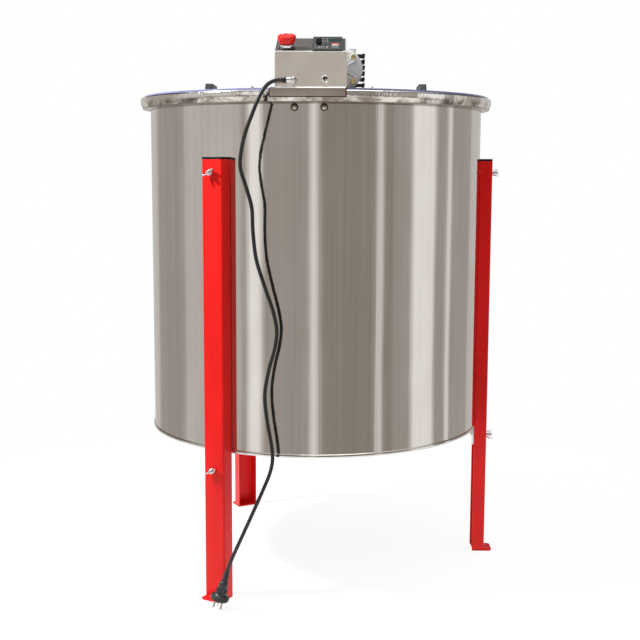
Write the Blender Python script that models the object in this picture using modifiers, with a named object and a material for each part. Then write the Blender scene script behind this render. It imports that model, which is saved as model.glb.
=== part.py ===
"""Electric radial honey extractor: a stainless tank on three legs with a motor-driven frame basket inside.

Metres, +Z up. The design frame has the tank's axis on Z, the bridge along Y with the controls at its
-Y end and the legs at 0, 120 and 240 degrees from +X. The empty ORIGIN_NAME moves that frame so that
the world's origin is the middle of the object's base.
"""

import math

import bmesh
import bpy
from mathutils import Matrix, Vector

COLLECTION = "honey_extractor"
CUTTERS = "cutters"
ORIGIN_NAME = "tank_axis"
TANK_AXIS_X = -0.0117

GAP = 0.0003
FACETS = 48
ROUND = 12
SLIM = 8
SHAFT_STEPS = 16
BORE_STEPS = 20
GRIP_STEPS = 24
COVER_STEPS = 32

# Tank
TANK_R = 0.350
WALL = 0.001
BEAD = 0.0030
TANK_BOTTOM = 0.291
TANK_TOP = 0.984
RIM_R = 0.3707
RIM_BOTTOM = 0.9624
RIM_TOP = 0.9855
RIM_INNER_R = 0.346
FLOOR_SKIRT_R = 0.3484
FLOOR_EDGE_Z = 0.311
FLOOR_APEX_Z = 0.352

# Legs
LEG_ANGLES = {"right": 0, "rear_left": 120, "front_left": 240}
LEG_WIDTH = 0.047
LEG_OUT_R = 0.377
LEG_SHEET = 0.002
LEG_TOP = 0.863
FOOT_R = 0.394
FOOT_THICK = 0.003
UPPER_BOLT_Z = 0.834
LOWER_BOLT_Z = 0.260
BOLT_R = 0.004
BOLT_HOLE_R = 0.0044
LEG_BOLT_LENGTH = 0.043
WING_NUT_TURN = -60
TAB_INNER_R = 0.3489
TAB_THICK = 0.0025

# Bridge over the tank
BRIDGE_LEFT = -0.0785
BRIDGE_RIGHT = 0.0645
BRIDGE_END_Y = 0.373
BRIDGE_TOP = 0.990
BRIDGE_SHEET = 0.002
BRIDGE_LIP_BOTTOM = 0.971
FLANGE_BOTTOM = 0.958
FLANGE_END_Y = 0.335
REST_END_Y = 0.3712
BRACKET_WALL_Y = 0.3432
BRACKET_WIDTH = 0.066
BRACKET_X = -0.0044
CAP_NUT_X = {"left": -0.0319, "right": 0.0231}
CAP_NUT_Z = 0.9543
CAP_NUT_SEAT_Y = 0.3498
CAP_NUT_HOLE_R = 0.0034

# Control box: its sloping panel carries the emergency stop and the speed controller
BOX_LEFT = -0.0676
BOX_RIGHT = 0.0644
BOX_FRONT_Y = -0.360
BOX_DEPTH = 0.100
BOX_FRONT_TOP = 1.0517
BOX_REAR_TOP = 1.0858
BOX_SHEET = 0.0015
PANEL_TILT = math.atan2(BOX_REAR_TOP - BOX_FRONT_TOP, BOX_DEPTH)
PANEL_LENGTH = math.hypot(BOX_REAR_TOP - BOX_FRONT_TOP, BOX_DEPTH)
PANEL_FACE = GAP + BOX_SHEET + GAP
ESTOP_UV = (-0.0445, 0.022)
CONTROLLER_U = 0.0298
CONTROLLER_HALF_W = 0.0278
KNOB_UV = (0.0140, 0.040)
ROCKER_UV = (0.0443, 0.022)
DISPLAY_UV = (0.0425, 0.074)
TOGGLE_XZ = (0.024, 1.0052)
TOGGLE_REST = 30
TOGGLE_LEAN = 30
GLAND_XZ = (-0.0345, 1.0014)

# Drive: a motor along Y turns a worm beside the wheel on the tank's axis
WORM_X = 0.054
WORM_Z = 1.0315
WORM_R = 0.0132
WHEEL_R = 0.0404
WHEEL_TEETH = 30
MOTOR_R = 0.041
FIN_PITCH = 0.0112
FIN_LENGTH = 0.058
BARREL_R = 0.0345
MOTOR_FRONT_Y = -0.250
COVER_BACK_Y = -0.232
MOTOR_BACK_Y = -0.071
GEARBOX_FRONT_Y = -0.0557
GEARBOX_BACK_Y = 0.052
GEARBOX_TOP = 1.073
MOTOR_FLANGE_TOP = 1.088
SHAFT_TOP_R = 0.010
SHAFT_R = 0.012
SHAFT_SPLIT_Z = 0.926

# Basket for twelve frames stood on end
SPIDER_Z = (0.400, 0.880)
SPIDER_R = 0.325
SPIDER_THICK = 0.004
SPOKES = 12
INNER_RING_R = 0.078
HUB_R = 0.026

# Lids
LID_R = 0.363
LID_BOTTOM = 0.9858
LID_THICK = 0.003
LID_CLEARANCE = 0.0015
STRIP_INNER_X = {"left": 0.0808, "right": 0.0668}
HINGE_X = 0.112
HINGE_Z = 0.9915
HINGE_HALF_L = 0.320
HINGE_R = 0.0024
HINGE_PIN_R = 0.0010
HINGE_KNUCKLES = 5
HANDLE_X = 0.224
HANDLE_HALF_L = 0.060
HANDLE_TOP = 1.018
HANDLE_WIDTH = 0.016

# Honey gate at the back
GATE_ANGLE = 60
GATE_Z = 0.338
GATE_BORE_R = 0.021
GATE_PIVOT_UP = 0.043
GATE_SEAT_R = 0.392
GATE_SCREW_HOLE_R = 0.0033

# Mains lead: hand-chosen points from the gland down to the plug at the front left foot
CORD_R = 0.0036
CORD_ROUTE = [
    (-0.0560, -0.3730, 1.0014),
    (-0.0640, -0.3735, 1.0008),
    (-0.0765, -0.3765, 0.9955),
    (-0.0870, -0.3810, 0.9840),
    (-0.0965, -0.3845, 0.9660),
    (-0.1070, -0.3862, 0.9400),
    (-0.1190, -0.3860, 0.9080),
    (-0.1275, -0.3815, 0.8740),
    (-0.1295, -0.3790, 0.8425),
    (-0.1195, -0.3755, 0.8075),
    (-0.1095, -0.3725, 0.7695),
    (-0.1078, -0.3695, 0.7265),
    (-0.1020, -0.3670, 0.6745),
    (-0.0870, -0.3655, 0.6245),
    (-0.0710, -0.3645, 0.5765),
    (-0.0640, -0.3640, 0.5395),
    (-0.0680, -0.3635, 0.5050),
    (-0.0792, -0.3635, 0.4640),
    (-0.0868, -0.3635, 0.4165),
    (-0.0826, -0.3640, 0.3680),
    (-0.0744, -0.3655, 0.3210),
    (-0.0722, -0.3675, 0.2920),
    (-0.0772, -0.3705, 0.2665),
    (-0.0895, -0.3750, 0.2360),
    (-0.1092, -0.3810, 0.1915),
    (-0.1300, -0.3840, 0.1450),
    (-0.1480, -0.3845, 0.1045),
    (-0.1575, -0.3835, 0.0790),
]
CORD_STEPS = 2
PLUG_TIP = (-0.1790, -0.3790, 0.0030)

STEEL = ("stainless", (0.62, 0.60, 0.57), 0.22, 1.0)
SATIN = ("satin_stainless", (0.60, 0.55, 0.49), 0.35, 1.0)
ZINC = ("zinc", (0.72, 0.72, 0.74), 0.25, 1.0)
LEG_RED = ("red_paint", (0.62, 0.012, 0.018), 0.25, 0.0)
STOP_RED = ("stop_red", (0.80, 0.02, 0.015), 0.3, 0.0)
CAST = ("cast_aluminium", (0.50, 0.52, 0.54), 0.5, 0.6)
BLACK_METAL = ("black_anodised", (0.02, 0.02, 0.022), 0.45, 0.3)
BLACK = ("black_plastic", (0.015, 0.015, 0.016), 0.4, 0.0)
PANEL_GREY = ("panel_grey", (0.16, 0.16, 0.165), 0.4, 0.4)
CORD_BLACK = ("cord_pvc", (0.012, 0.012, 0.013), 0.45, 0.0)
ACRYLIC = ("clear_acrylic", (0.80, 0.82, 0.95), 0.05, 0.0)
SCREEN = ("display_window", (0.01, 0.10, 0.12), 0.1, 0.0)
BRONZE = ("bronze", (0.55, 0.36, 0.14), 0.35, 1.0)
SILVER = ("nickel", (0.75, 0.74, 0.72), 0.2, 1.0)


def clear_scene():
    for item in list(bpy.data.objects):
        bpy.data.objects.remove(item, do_unlink=True)
    for name in (COLLECTION, CUTTERS):
        old = bpy.data.collections.get(name)
        if old:
            bpy.data.collections.remove(old)
        bpy.context.scene.collection.children.link(bpy.data.collections.new(name))
    origin = bpy.data.objects.new(ORIGIN_NAME, None)
    origin.location = (TANK_AXIS_X, 0, 0)
    bpy.data.collections[COLLECTION].objects.link(origin)


def material(spec):
    name, colour, roughness, metallic = spec
    found = bpy.data.materials.get(name)
    if found:
        return found
    made = bpy.data.materials.new(name)
    made.use_nodes = True
    shader = made.node_tree.nodes["Principled BSDF"]
    shader.inputs["Base Color"].default_value = (*colour, 1.0)
    shader.inputs["Roughness"].default_value = roughness
    shader.inputs["Metallic"].default_value = metallic
    made.diffuse_color = (*colour, 1.0)
    return made


def place(name, data, matrix=None, cutter=False):
    """Add an object to the extractor, or to the cutters, at a place in the design frame."""
    item = bpy.data.objects.new(name, data)
    bpy.data.collections[CUTTERS if cutter else COLLECTION].objects.link(item)
    item.parent = bpy.data.objects[ORIGIN_NAME]
    item.matrix_basis = matrix or Matrix.Identity(4)
    if cutter:
        item.hide_render = True
        item.display_type = "WIRE"
    return item


def finish(item, spec, smooth=True):
    """Give a part its material and shading."""
    item.data.materials.clear()
    item.data.materials.append(material(spec))
    if item.type == "MESH" and smooth:
        item.data.shade_smooth()
        item.data.set_sharp_from_angle(angle=math.radians(35))
    return item


def frame_at(origin, x_axis, y_axis):
    """A right-handed frame from its origin and its first two axes."""
    x_dir = Vector(x_axis).normalized()
    y_dir = Vector(y_axis).normalized()
    z_dir = x_dir.cross(y_dir)
    turn = Matrix((x_dir, y_dir, z_dir)).transposed().to_4x4()
    return Matrix.Translation(origin) @ turn


def polar(angle_deg, radius, height):
    """Frame on the tank: X outward, Y along the wall, Z up."""
    return Matrix.Rotation(math.radians(angle_deg), 4, "Z") @ Matrix.Translation((radius, 0, height))


def outward(angle_deg, radius, height):
    """Frame on the tank: Z outward, X down, Y along the wall."""
    return polar(angle_deg, radius, height) @ Matrix.Rotation(math.pi / 2, 4, "Y")


def facing_front(x, y, z):
    """Frame whose Z points to the front, -Y, with X to the right."""
    return frame_at((x, y, z), (1, 0, 0), (0, 0, 1))


def box(name, low, high, cutter=False, matrix=None):
    mesh = bpy.data.meshes.new(name)
    shape = bmesh.new()
    bmesh.ops.create_cube(shape, size=1.0)
    size = [b - a for a, b in zip(low, high)]
    middle = [(a + b) / 2 for a, b in zip(low, high)]
    stretch = Matrix.Translation(middle) @ Matrix.Diagonal((*size, 1))
    bmesh.ops.transform(shape, matrix=stretch, verts=shape.verts)
    shape.to_mesh(mesh)
    shape.free()
    return place(name, mesh, matrix, cutter)


def rod(name, radius, z_low, z_high, matrix=None, cutter=True, segments=ROUND, top_radius=None):
    """A cylinder or cone along the frame's Z."""
    mesh = bpy.data.meshes.new(name)
    shape = bmesh.new()
    upper = radius if top_radius is None else top_radius
    lift = Matrix.Translation((0, 0, (z_low + z_high) / 2))
    bmesh.ops.create_cone(
        shape,
        cap_ends=True,
        segments=segments,
        radius1=radius,
        radius2=upper,
        depth=z_high - z_low,
        matrix=lift,
    )
    shape.to_mesh(mesh)
    shape.free()
    return place(name, mesh, matrix, cutter)


def turned(name, profile, steps=ROUND, matrix=None, cutter=False):
    """A body of revolution about Z; a profile that starts off the axis is closed into a ring."""
    mesh = bpy.data.meshes.new(name)
    count = len(profile)
    ring = profile[0][0] > 0
    edges = [(i, i + 1) for i in range(count - 1)]
    if ring:
        edges.append((count - 1, 0))
    mesh.from_pydata([(r, 0, z) for r, z in profile], edges, [])
    item = place(name, mesh, matrix, cutter)
    screw = item.modifiers.new("turn", "SCREW")
    screw.steps = steps
    screw.render_steps = steps
    screw.use_merge_vertices = True
    screw.merge_threshold = 0.00001
    screw.use_smooth_shade = False
    return item


def plate(name, outlines, thickness, matrix=None, cutter=False):
    """A flat plate from its outline and holes, centred on the frame's XY plane."""
    curve = bpy.data.curves.new(name, "CURVE")
    curve.dimensions = "2D"
    curve.fill_mode = "BOTH"
    curve.extrude = thickness / 2
    for points in outlines:
        spline = curve.splines.new("POLY")
        spline.points.add(len(points) - 1)
        for target, (x, y) in zip(spline.points, points):
            target.co = (x, y, 0, 1)
        spline.use_cyclic_u = True
    loose = place(name + "_outline", curve, matrix, cutter)
    return solidified(loose, name, cutter)


def solidified(loose, name, cutter=False):
    """Turn an object's evaluated shape into a plain welded mesh object in the same place."""
    bpy.context.view_layer.update()
    graph = bpy.context.evaluated_depsgraph_get()
    mesh = bpy.data.meshes.new_from_object(loose.evaluated_get(graph))
    shape = bmesh.new()
    shape.from_mesh(mesh)
    bmesh.ops.remove_doubles(shape, verts=shape.verts, dist=0.00001)
    bmesh.ops.recalc_face_normals(shape, faces=shape.faces)
    shape.to_mesh(mesh)
    shape.free()
    mesh.materials.clear()
    matrix = loose.matrix_basis.copy()
    bpy.data.objects.remove(loose, do_unlink=True)
    mesh.name = name
    return place(name, mesh, matrix, cutter)


def combine(item, tool, operation):
    """Cut a tool from a part, or join it on, with an exact Boolean that stays on the part."""
    if tool.name not in bpy.data.collections[CUTTERS].objects:
        bpy.data.collections[COLLECTION].objects.unlink(tool)
        bpy.data.collections[CUTTERS].objects.link(tool)
        tool.hide_render = True
        tool.display_type = "WIRE"
    change = item.modifiers.new(operation.lower(), "BOOLEAN")
    change.operation = operation
    change.solver = "EXACT"
    change.object = tool
    return item


def cut(item, *tools):
    for tool in tools:
        combine(item, tool, "DIFFERENCE")
    return item


def join(item, *tools):
    for tool in tools:
        combine(item, tool, "UNION")
    return item


def move_origin(item, point):
    """Put a moving part's origin on its joint axis without moving its shape."""
    shift = item.matrix_basis.inverted() @ Vector(point)
    item.data.transform(Matrix.Translation(-shift))
    item.matrix_basis = item.matrix_basis @ Matrix.Translation(shift)
    return item


def arc(radius, start_deg, end_deg, count, centre=(0, 0)):
    points = []
    for i in range(count + 1):
        angle = math.radians(start_deg + (end_deg - start_deg) * i / count)
        points.append((centre[0] + radius * math.cos(angle), centre[1] + radius * math.sin(angle)))
    return points


def circle(radius, count=ROUND, centre=(0, 0)):
    return arc(radius, 0, 360 * (count - 1) / count, count - 1, centre)


def rectangle(x_low, x_high, y_low, y_high):
    return [(x_low, y_low), (x_high, y_low), (x_high, y_high), (x_low, y_high)]


def rounded(x_low, x_high, y_low, y_high, radius, count=3):
    """A rectangle with round corners."""
    points = []
    corners = [(x_high, y_high, 0), (x_low, y_high, 90), (x_low, y_low, 180), (x_high, y_low, 270)]
    for x, y, start in corners:
        centre_x = x - math.copysign(radius, x - (x_low + x_high) / 2)
        centre_y = y - math.copysign(radius, y - (y_low + y_high) / 2)
        points += arc(radius, start, start + 90, count, (centre_x, centre_y))
    return points


# ---------------------------------------------------------------- tank


def make_tank():
    wall = turned(
        "tank_wall",
        [
            (TANK_R, TANK_TOP),
            (TANK_R, TANK_BOTTOM + 0.007),
            (TANK_R + BEAD, TANK_BOTTOM + 0.0055),
            (TANK_R + BEAD, TANK_BOTTOM + 0.0015),
            (TANK_R, TANK_BOTTOM),
            (TANK_R - WALL, TANK_BOTTOM),
            (TANK_R - WALL, TANK_TOP),
        ],
        FACETS,
    )
    for angle in LEG_ANGLES.values():
        tab = box(
            "tab",
            (TAB_INNER_R, -0.014, 0.238),
            (TAB_INNER_R + TAB_THICK, 0.014, 0.322),
            True,
            Matrix.Rotation(math.radians(angle), 4, "Z"),
        )
        join(wall, tab)
    through = 0.010
    for angle in LEG_ANGLES.values():
        for height in (UPPER_BOLT_Z, LOWER_BOLT_Z):
            spot = outward(angle, TANK_R, height)
            cut(wall, rod("leg_hole", BOLT_HOLE_R, -through, through, spot, segments=SLIM))
    for y in (-CAP_NUT_SEAT_Y, CAP_NUT_SEAT_Y):
        for x in CAP_NUT_X.values():
            spot = facing_front(x, y, CAP_NUT_Z)
            cut(wall, rod("nut_hole", CAP_NUT_HOLE_R, -through, through, spot, segments=SLIM))
    spot = outward(GATE_ANGLE, TANK_R, GATE_Z)
    cut(wall, rod("gate_hole", GATE_BORE_R, -through, through, spot, segments=BORE_STEPS))
    finish(wall, STEEL)

    lip = 0.001
    round_r = 0.003
    corner = [(r, z) for r, z in arc(round_r, 90, 0, 3, (RIM_R - round_r, RIM_TOP - round_r))]
    rim = turned(
        "tank_rim",
        corner
        + [
            (RIM_R, RIM_BOTTOM),
            (TANK_R + GAP, RIM_BOTTOM),
            (TANK_R + GAP, RIM_BOTTOM + lip),
            (RIM_R - lip, RIM_BOTTOM + lip),
            (RIM_R - lip, RIM_TOP - round_r),
            (RIM_R - round_r, RIM_TOP - lip),
            (RIM_INNER_R + lip, RIM_TOP - lip),
            (RIM_INNER_R + lip, 0.970),
            (RIM_INNER_R, 0.970),
            (RIM_INNER_R, RIM_TOP),
        ],
        FACETS,
    )
    finish(rim, STEEL)

    sheet = 0.0012
    floor = turned(
        "tank_floor",
        [
            (0, FLOOR_APEX_Z),
            (0.040, FLOOR_APEX_Z),
            (FLOOR_SKIRT_R, FLOOR_EDGE_Z),
            (FLOOR_SKIRT_R, TANK_BOTTOM + 0.0005),
            (FLOOR_SKIRT_R - WALL, TANK_BOTTOM + 0.0005),
            (FLOOR_SKIRT_R - WALL, FLOOR_EDGE_Z - sheet),
            (0.040, FLOOR_APEX_Z - sheet),
            (0, FLOOR_APEX_Z - sheet),
        ],
        FACETS,
    )
    finish(floor, STEEL)

    cup_base = FLOOR_APEX_Z + GAP
    cup = turned(
        "bearing_cup",
        [
            (0, cup_base + 0.004),
            (SHAFT_TOP_R + 0.0004, cup_base + 0.004),
            (SHAFT_TOP_R + 0.0004, cup_base + 0.022),
            (0.020, cup_base + 0.022),
            (0.020, cup_base + 0.004),
            (0.034, cup_base + 0.003),
            (0.034, cup_base),
            (0, cup_base),
        ],
        GRIP_STEPS,
    )
    finish(cup, BRONZE)


# ---------------------------------------------------------------- legs


def leg_outline():
    """Channel open towards the tank, with the bends at its outer corners rounded."""
    half = LEG_WIDTH / 2
    inner_r = TANK_R + GAP
    bend = 0.0035
    web_in = LEG_OUT_R - LEG_SHEET
    points = [(inner_r, -half)]
    points += arc(bend, -90, 0, 3, (LEG_OUT_R - bend, -half + bend))
    points += arc(bend, 0, 90, 3, (LEG_OUT_R - bend, half - bend))
    points += [(inner_r, half), (inner_r, half - LEG_SHEET), (web_in, half - LEG_SHEET)]
    points += [(web_in, -half + LEG_SHEET), (inner_r, -half + LEG_SHEET)]
    return points


def make_wing_nut_mesh():
    """One wing nut along Z with its seat at zero, shared by every copy."""
    bore = BOLT_R + GAP
    nut = turned("wing_nut_hub", [(0.0055, 0.009), (0.0070, 0.0), (bore, 0.0), (bore, 0.009)], ROUND)
    for side in (-1, 1):
        wing = [
            (side * 0.0050, 0.0015),
            (side * 0.0085, 0.0015),
            (side * 0.0130, 0.0075),
            (side * 0.0145, 0.0130),
            (side * 0.0125, 0.0155),
            (side * 0.0095, 0.0125),
            (side * 0.0070, 0.0080),
            (side * 0.0050, 0.0070),
        ]
        blade = plate("wing", [wing], 0.0022, frame_at((0, 0, 0), (1, 0, 0), (0, 0, 1)), True)
        join(nut, blade)
    return solidified(nut, "wing_nut_shape", True).data


def bolt_profile(length, head_r=0.0085):
    """Mushroom head on the inner side, shank outwards from the clamped face at zero."""
    seat = -0.0008
    return [
        (0, length),
        (BOLT_R, length),
        (BOLT_R, seat),
        (head_r, seat),
        (head_r * 0.76, seat - 0.0031),
        (head_r * 0.41, seat - 0.0042),
        (0, seat - 0.0045),
    ]


def make_legs():
    nut_mesh = make_wing_nut_mesh()
    half = LEG_WIDTH / 2
    for side, angle in LEG_ANGLES.items():
        turn = Matrix.Rotation(math.radians(angle), 4, "Z")
        middle = turn @ Matrix.Translation((0, 0, (LEG_TOP + GAP) / 2))
        leg = plate("leg_" + side, [leg_outline()], LEG_TOP - GAP, middle)
        corner = 0.008
        foot_outline = [(TANK_R + 0.002, -half)]
        foot_outline += arc(corner, -90, 0, 3, (FOOT_R - corner, -half + corner))
        foot_outline += arc(corner, 0, 90, 3, (FOOT_R - corner, half - corner))
        foot_outline += [(TANK_R + 0.002, half)]
        hole = circle(0.0035, SLIM, (FOOT_R - 0.0085, 0))
        middle = turn @ Matrix.Translation((0, 0, FOOT_THICK / 2))
        foot = plate("foot", [foot_outline, hole], FOOT_THICK, middle, True)
        join(leg, foot)
        notch_low = TANK_BOTTOM - 0.0005
        notch_high = TANK_BOTTOM + 0.0075
        cut(leg, rod("bead_notch", TANK_R + BEAD + 0.0006, notch_low, notch_high, segments=FACETS))
        for height in (UPPER_BOLT_Z, LOWER_BOLT_Z):
            spot = outward(angle, LEG_OUT_R, height)
            cut(leg, rod("leg_hole", BOLT_HOLE_R, -0.008, 0.008, spot, segments=SLIM))
        finish(leg, LEG_RED)
        levels = (("upper", UPPER_BOLT_Z, TANK_R - WALL), ("lower", LOWER_BOLT_Z, TAB_INNER_R))
        for level, height, clamped_r in levels:
            seat = outward(angle, clamped_r, height)
            finish(turned(f"leg_bolt_{level}_{side}", bolt_profile(LEG_BOLT_LENGTH), SLIM, seat), ZINC)
            nut_turn = Matrix.Rotation(math.radians(WING_NUT_TURN), 4, "Z")
            nut_frame = outward(angle, LEG_OUT_R + GAP, height) @ nut_turn
            finish(place(f"wing_nut_{level}_{side}", nut_mesh, nut_frame), ZINC)


# ---------------------------------------------------------------- bridge


def make_bridge():
    under = BRIDGE_TOP - BRIDGE_SHEET
    bridge = box("bridge", (BRIDGE_LEFT, -BRIDGE_END_Y, under), (BRIDGE_RIGHT, BRIDGE_END_Y, BRIDGE_TOP))
    walls = {-1: (BRIDGE_LEFT, BRIDGE_LEFT + BRIDGE_SHEET), 1: (BRIDGE_RIGHT - BRIDGE_SHEET, BRIDGE_RIGHT)}
    for side in (-1, 1):
        x_low, x_high = walls[side]
        y_low, y_high = sorted((side * BRIDGE_END_Y, side * (BRIDGE_END_Y - BRIDGE_SHEET)))
        overlap = under + 0.001
        join(
            bridge,
            box("flange", (x_low, -FLANGE_END_Y, FLANGE_BOTTOM), (x_high, FLANGE_END_Y, overlap), True),
            box("rest", (x_low, -REST_END_Y, RIM_TOP + GAP), (x_high, REST_END_Y, overlap), True),
            box("lip", (BRIDGE_LEFT, y_low, BRIDGE_LIP_BOTTOM), (BRIDGE_RIGHT, y_high, overlap), True),
        )
    cut(bridge, rod("shaft_hole", 0.014, under - 0.01, BRIDGE_TOP + 0.01, segments=BORE_STEPS))
    finish(bridge, SATIN)

    for side, word in ((-1, "front"), (1, "rear")):
        wall_y = BRACKET_WALL_Y
        outline = [
            (wall_y, 0.938),
            (wall_y, 0.9877),
            (0.312, 0.9877),
            (0.312, 0.9857),
            (wall_y - 0.002, 0.9857),
            (wall_y - 0.002, 0.938),
        ]
        if side < 0:
            outline = [(-y, z) for y, z in reversed(outline)]
        across = frame_at((BRACKET_X, 0, 0), (0, 1, 0), (0, 0, 1))
        bracket = plate(f"bridge_bracket_{word}", [outline], BRACKET_WIDTH, across)
        for x in CAP_NUT_X.values():
            spot = facing_front(x, side * (wall_y - 0.001), CAP_NUT_Z)
            cut(bracket, rod("bracket_hole", CAP_NUT_HOLE_R, -0.004, 0.004, spot, segments=SLIM))
        finish(bracket, STEEL)
        for hand, x in CAP_NUT_X.items():
            look = facing_front(x, -CAP_NUT_SEAT_Y, CAP_NUT_Z)
            if side > 0:
                look = Matrix.Rotation(math.pi, 4, "Z") @ facing_front(-x, -CAP_NUT_SEAT_Y, CAP_NUT_Z)
            head = [
                (0, 0.0078),
                (0.0033, 0.0071),
                (0.0052, 0.0046),
                (0.0057, 0.0010),
                (0.0078, 0.0010),
                (0.0078, 0.0),
                (0.0030, 0.0),
                (0.0030, -0.0090),
                (0.0055, -0.0090),
                (0.0055, -0.0126),
                (0, -0.0126),
            ]
            finish(turned(f"bridge_bolt_{word}_{hand}", head, ROUND, look), ZINC)


# ---------------------------------------------------------------- control head


def panel_frame(u=0.0, v=0.0, lift=0.0):
    """Frame on the sloping panel: X to the right, Y up the slope, Z out of the panel."""
    base = frame_at(
        ((BOX_LEFT + BOX_RIGHT) / 2, BOX_FRONT_Y, BOX_FRONT_TOP),
        (1, 0, 0),
        (0, math.cos(PANEL_TILT), math.sin(PANEL_TILT)),
    )
    return base @ Matrix.Translation((u, v, lift))


def make_control_box():
    foot_z = BRIDGE_TOP + GAP
    back_y = BOX_FRONT_Y + BOX_DEPTH
    outline = [
        (BOX_FRONT_Y, foot_z),
        (back_y, foot_z),
        (back_y, BOX_REAR_TOP),
        (BOX_FRONT_Y, BOX_FRONT_TOP),
    ]
    middle = (BOX_LEFT + BOX_RIGHT) / 2
    case = plate(
        "control_box", [outline], BOX_RIGHT - BOX_LEFT, frame_at((middle, 0, 0), (0, 1, 0), (0, 0, 1))
    )
    hollow = box(
        "hollow",
        (BOX_LEFT + BOX_SHEET, BOX_FRONT_Y + BOX_SHEET, foot_z - 0.01),
        (BOX_RIGHT - BOX_SHEET, back_y - BOX_SHEET, BOX_REAR_TOP + 0.02),
        True,
    )
    gland_spot = facing_front(GLAND_XZ[0], BOX_FRONT_Y, GLAND_XZ[1])
    gland_hole = rod("gland_hole", 0.0064, -0.006, 0.006, gland_spot)
    toggle_spot = facing_front(TOGGLE_XZ[0], BOX_FRONT_Y, TOGGLE_XZ[1])
    toggle_hole = rod("toggle_hole", 0.0033, -0.006, 0.006, toggle_spot)
    cut(case, hollow, gland_hole, toggle_hole)
    finish(case, SATIN)

    half = (BOX_RIGHT - BOX_LEFT) / 2
    lid_outline = rounded(-half, half, 0.0, PANEL_LENGTH, 0.002, 2)
    stop_hole = circle(0.0113, SHAFT_STEPS, ESTOP_UV)
    window = rectangle(CONTROLLER_U - 0.025, CONTROLLER_U + 0.025, 0.010, 0.097)
    middle = panel_frame(lift=GAP + BOX_SHEET / 2)
    finish(plate("control_panel", [lid_outline, stop_hole, window], BOX_SHEET, middle), PANEL_GREY)


def make_emergency_stop():
    base = turned(
        "estop_base",
        [
            (0.0115, 0.011),
            (0.0130, 0.009),
            (0.0130, 0.0050),
            (0.0150, 0.0045),
            (0.0150, PANEL_FACE),
            (0.0110, PANEL_FACE),
            (0.0110, -0.024),
            (0.0063, -0.024),
            (0.0063, 0.011),
        ],
        SHAFT_STEPS,
        panel_frame(*ESTOP_UV),
    )
    finish(base, SILVER)
    button = turned(
        "estop_button",
        [
            (0, 0.0280),
            (0.0090, 0.0276),
            (0.0150, 0.0262),
            (0.0172, 0.0238),
            (0.0170, 0.0208),
            (0.0145, 0.0125),
            (0.0136, 0.0125),
            (0.0136, 0.0190),
            (0.0060, 0.0190),
            (0.0060, -0.012),
            (0, -0.012),
        ],
        GRIP_STEPS,
        panel_frame(*ESTOP_UV),
    )
    finish(button, STOP_RED)


def make_speed_controller():
    face = PANEL_FACE
    bezel_thick = 0.0035
    top = face + bezel_thick
    above = top + 0.004
    left = CONTROLLER_U - CONTROLLER_HALF_W
    right = CONTROLLER_U + CONTROLLER_HALF_W
    bezel = rounded(left, right, 0.002, 0.104, 0.003, 2)
    knob_hole_r = 0.0034
    knob_hole = circle(knob_hole_r, SLIM, KNOB_UV)
    u, v = ROCKER_UV
    half_w = 0.0066
    half_h = 0.0096
    rocker_hole = rectangle(u - half_w, u + half_w, v - half_h, v + half_h)
    middle = panel_frame(lift=face + bezel_thick / 2)
    housing = plate("speed_controller", [bezel, knob_hole, rocker_hole], bezel_thick, middle)
    low = (CONTROLLER_U - 0.0245, 0.0105, -0.020)
    high = (CONTROLLER_U + 0.0245, 0.0965, face + 0.001)
    body = box("controller_body", low, high, True, panel_frame())
    low = (u - half_w, v - half_h, -0.014)
    high = (u + half_w, v + half_h, above)
    well = box("rocker_well", low, high, True, panel_frame())
    shaft_well = rod("knob_well", knob_hole_r, -0.012, above, panel_frame(*KNOB_UV), segments=SLIM)
    u, v = DISPLAY_UV
    half_w = 0.0118
    half_h = 0.0128
    low = (u - half_w, v - half_h, top - 0.0018)
    high = (u + half_w, v + half_h, above)
    pocket = box("display_well", low, high, True, panel_frame())
    join(housing, body)
    cut(housing, well, shaft_well, pocket)
    finish(housing, BLACK)

    window = plate(
        "display_window",
        [rounded(-0.0114, 0.0114, -0.0124, 0.0124, 0.001, 2)],
        0.0014,
        panel_frame(u, v, top - 0.0008),
    )
    finish(window, SCREEN)

    knob = turned(
        "speed_knob",
        [
            (0, top + 0.0130),
            (0.0046, top + 0.0130),
            (0.0053, top + 0.0120),
            (0.0058, top + GAP),
            (0.0030, top + GAP),
            (0.0030, -0.010),
            (0, -0.010),
        ],
        SHAFT_STEPS,
        panel_frame(*KNOB_UV),
    )
    finish(knob, BLACK)

    base_h = top + 0.0002 - face
    tip_h = base_h + 0.0048
    outline = [
        (0.0088, base_h),
        (0.0078, tip_h),
        (0.0, base_h + 0.0026),
        (-0.0078, tip_h - 0.0006),
        (-0.0088, base_h),
        (-0.0060, -0.0072),
        (0.0060, -0.0072),
    ]
    rocker = plate("rocker_switch", [outline], 0.0124, rocker_frame(face))
    finish(rocker, STOP_RED)


def rocker_frame(pivot_lift):
    """Frame on the rocker's pivot: X down the slope, Y out of the panel, Z to the right."""
    spot = panel_frame(ROCKER_UV[0], ROCKER_UV[1], pivot_lift)
    down = -spot.col[1].to_3d()
    out = spot.col[2].to_3d()
    return frame_at(spot.translation, down, out)


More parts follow.
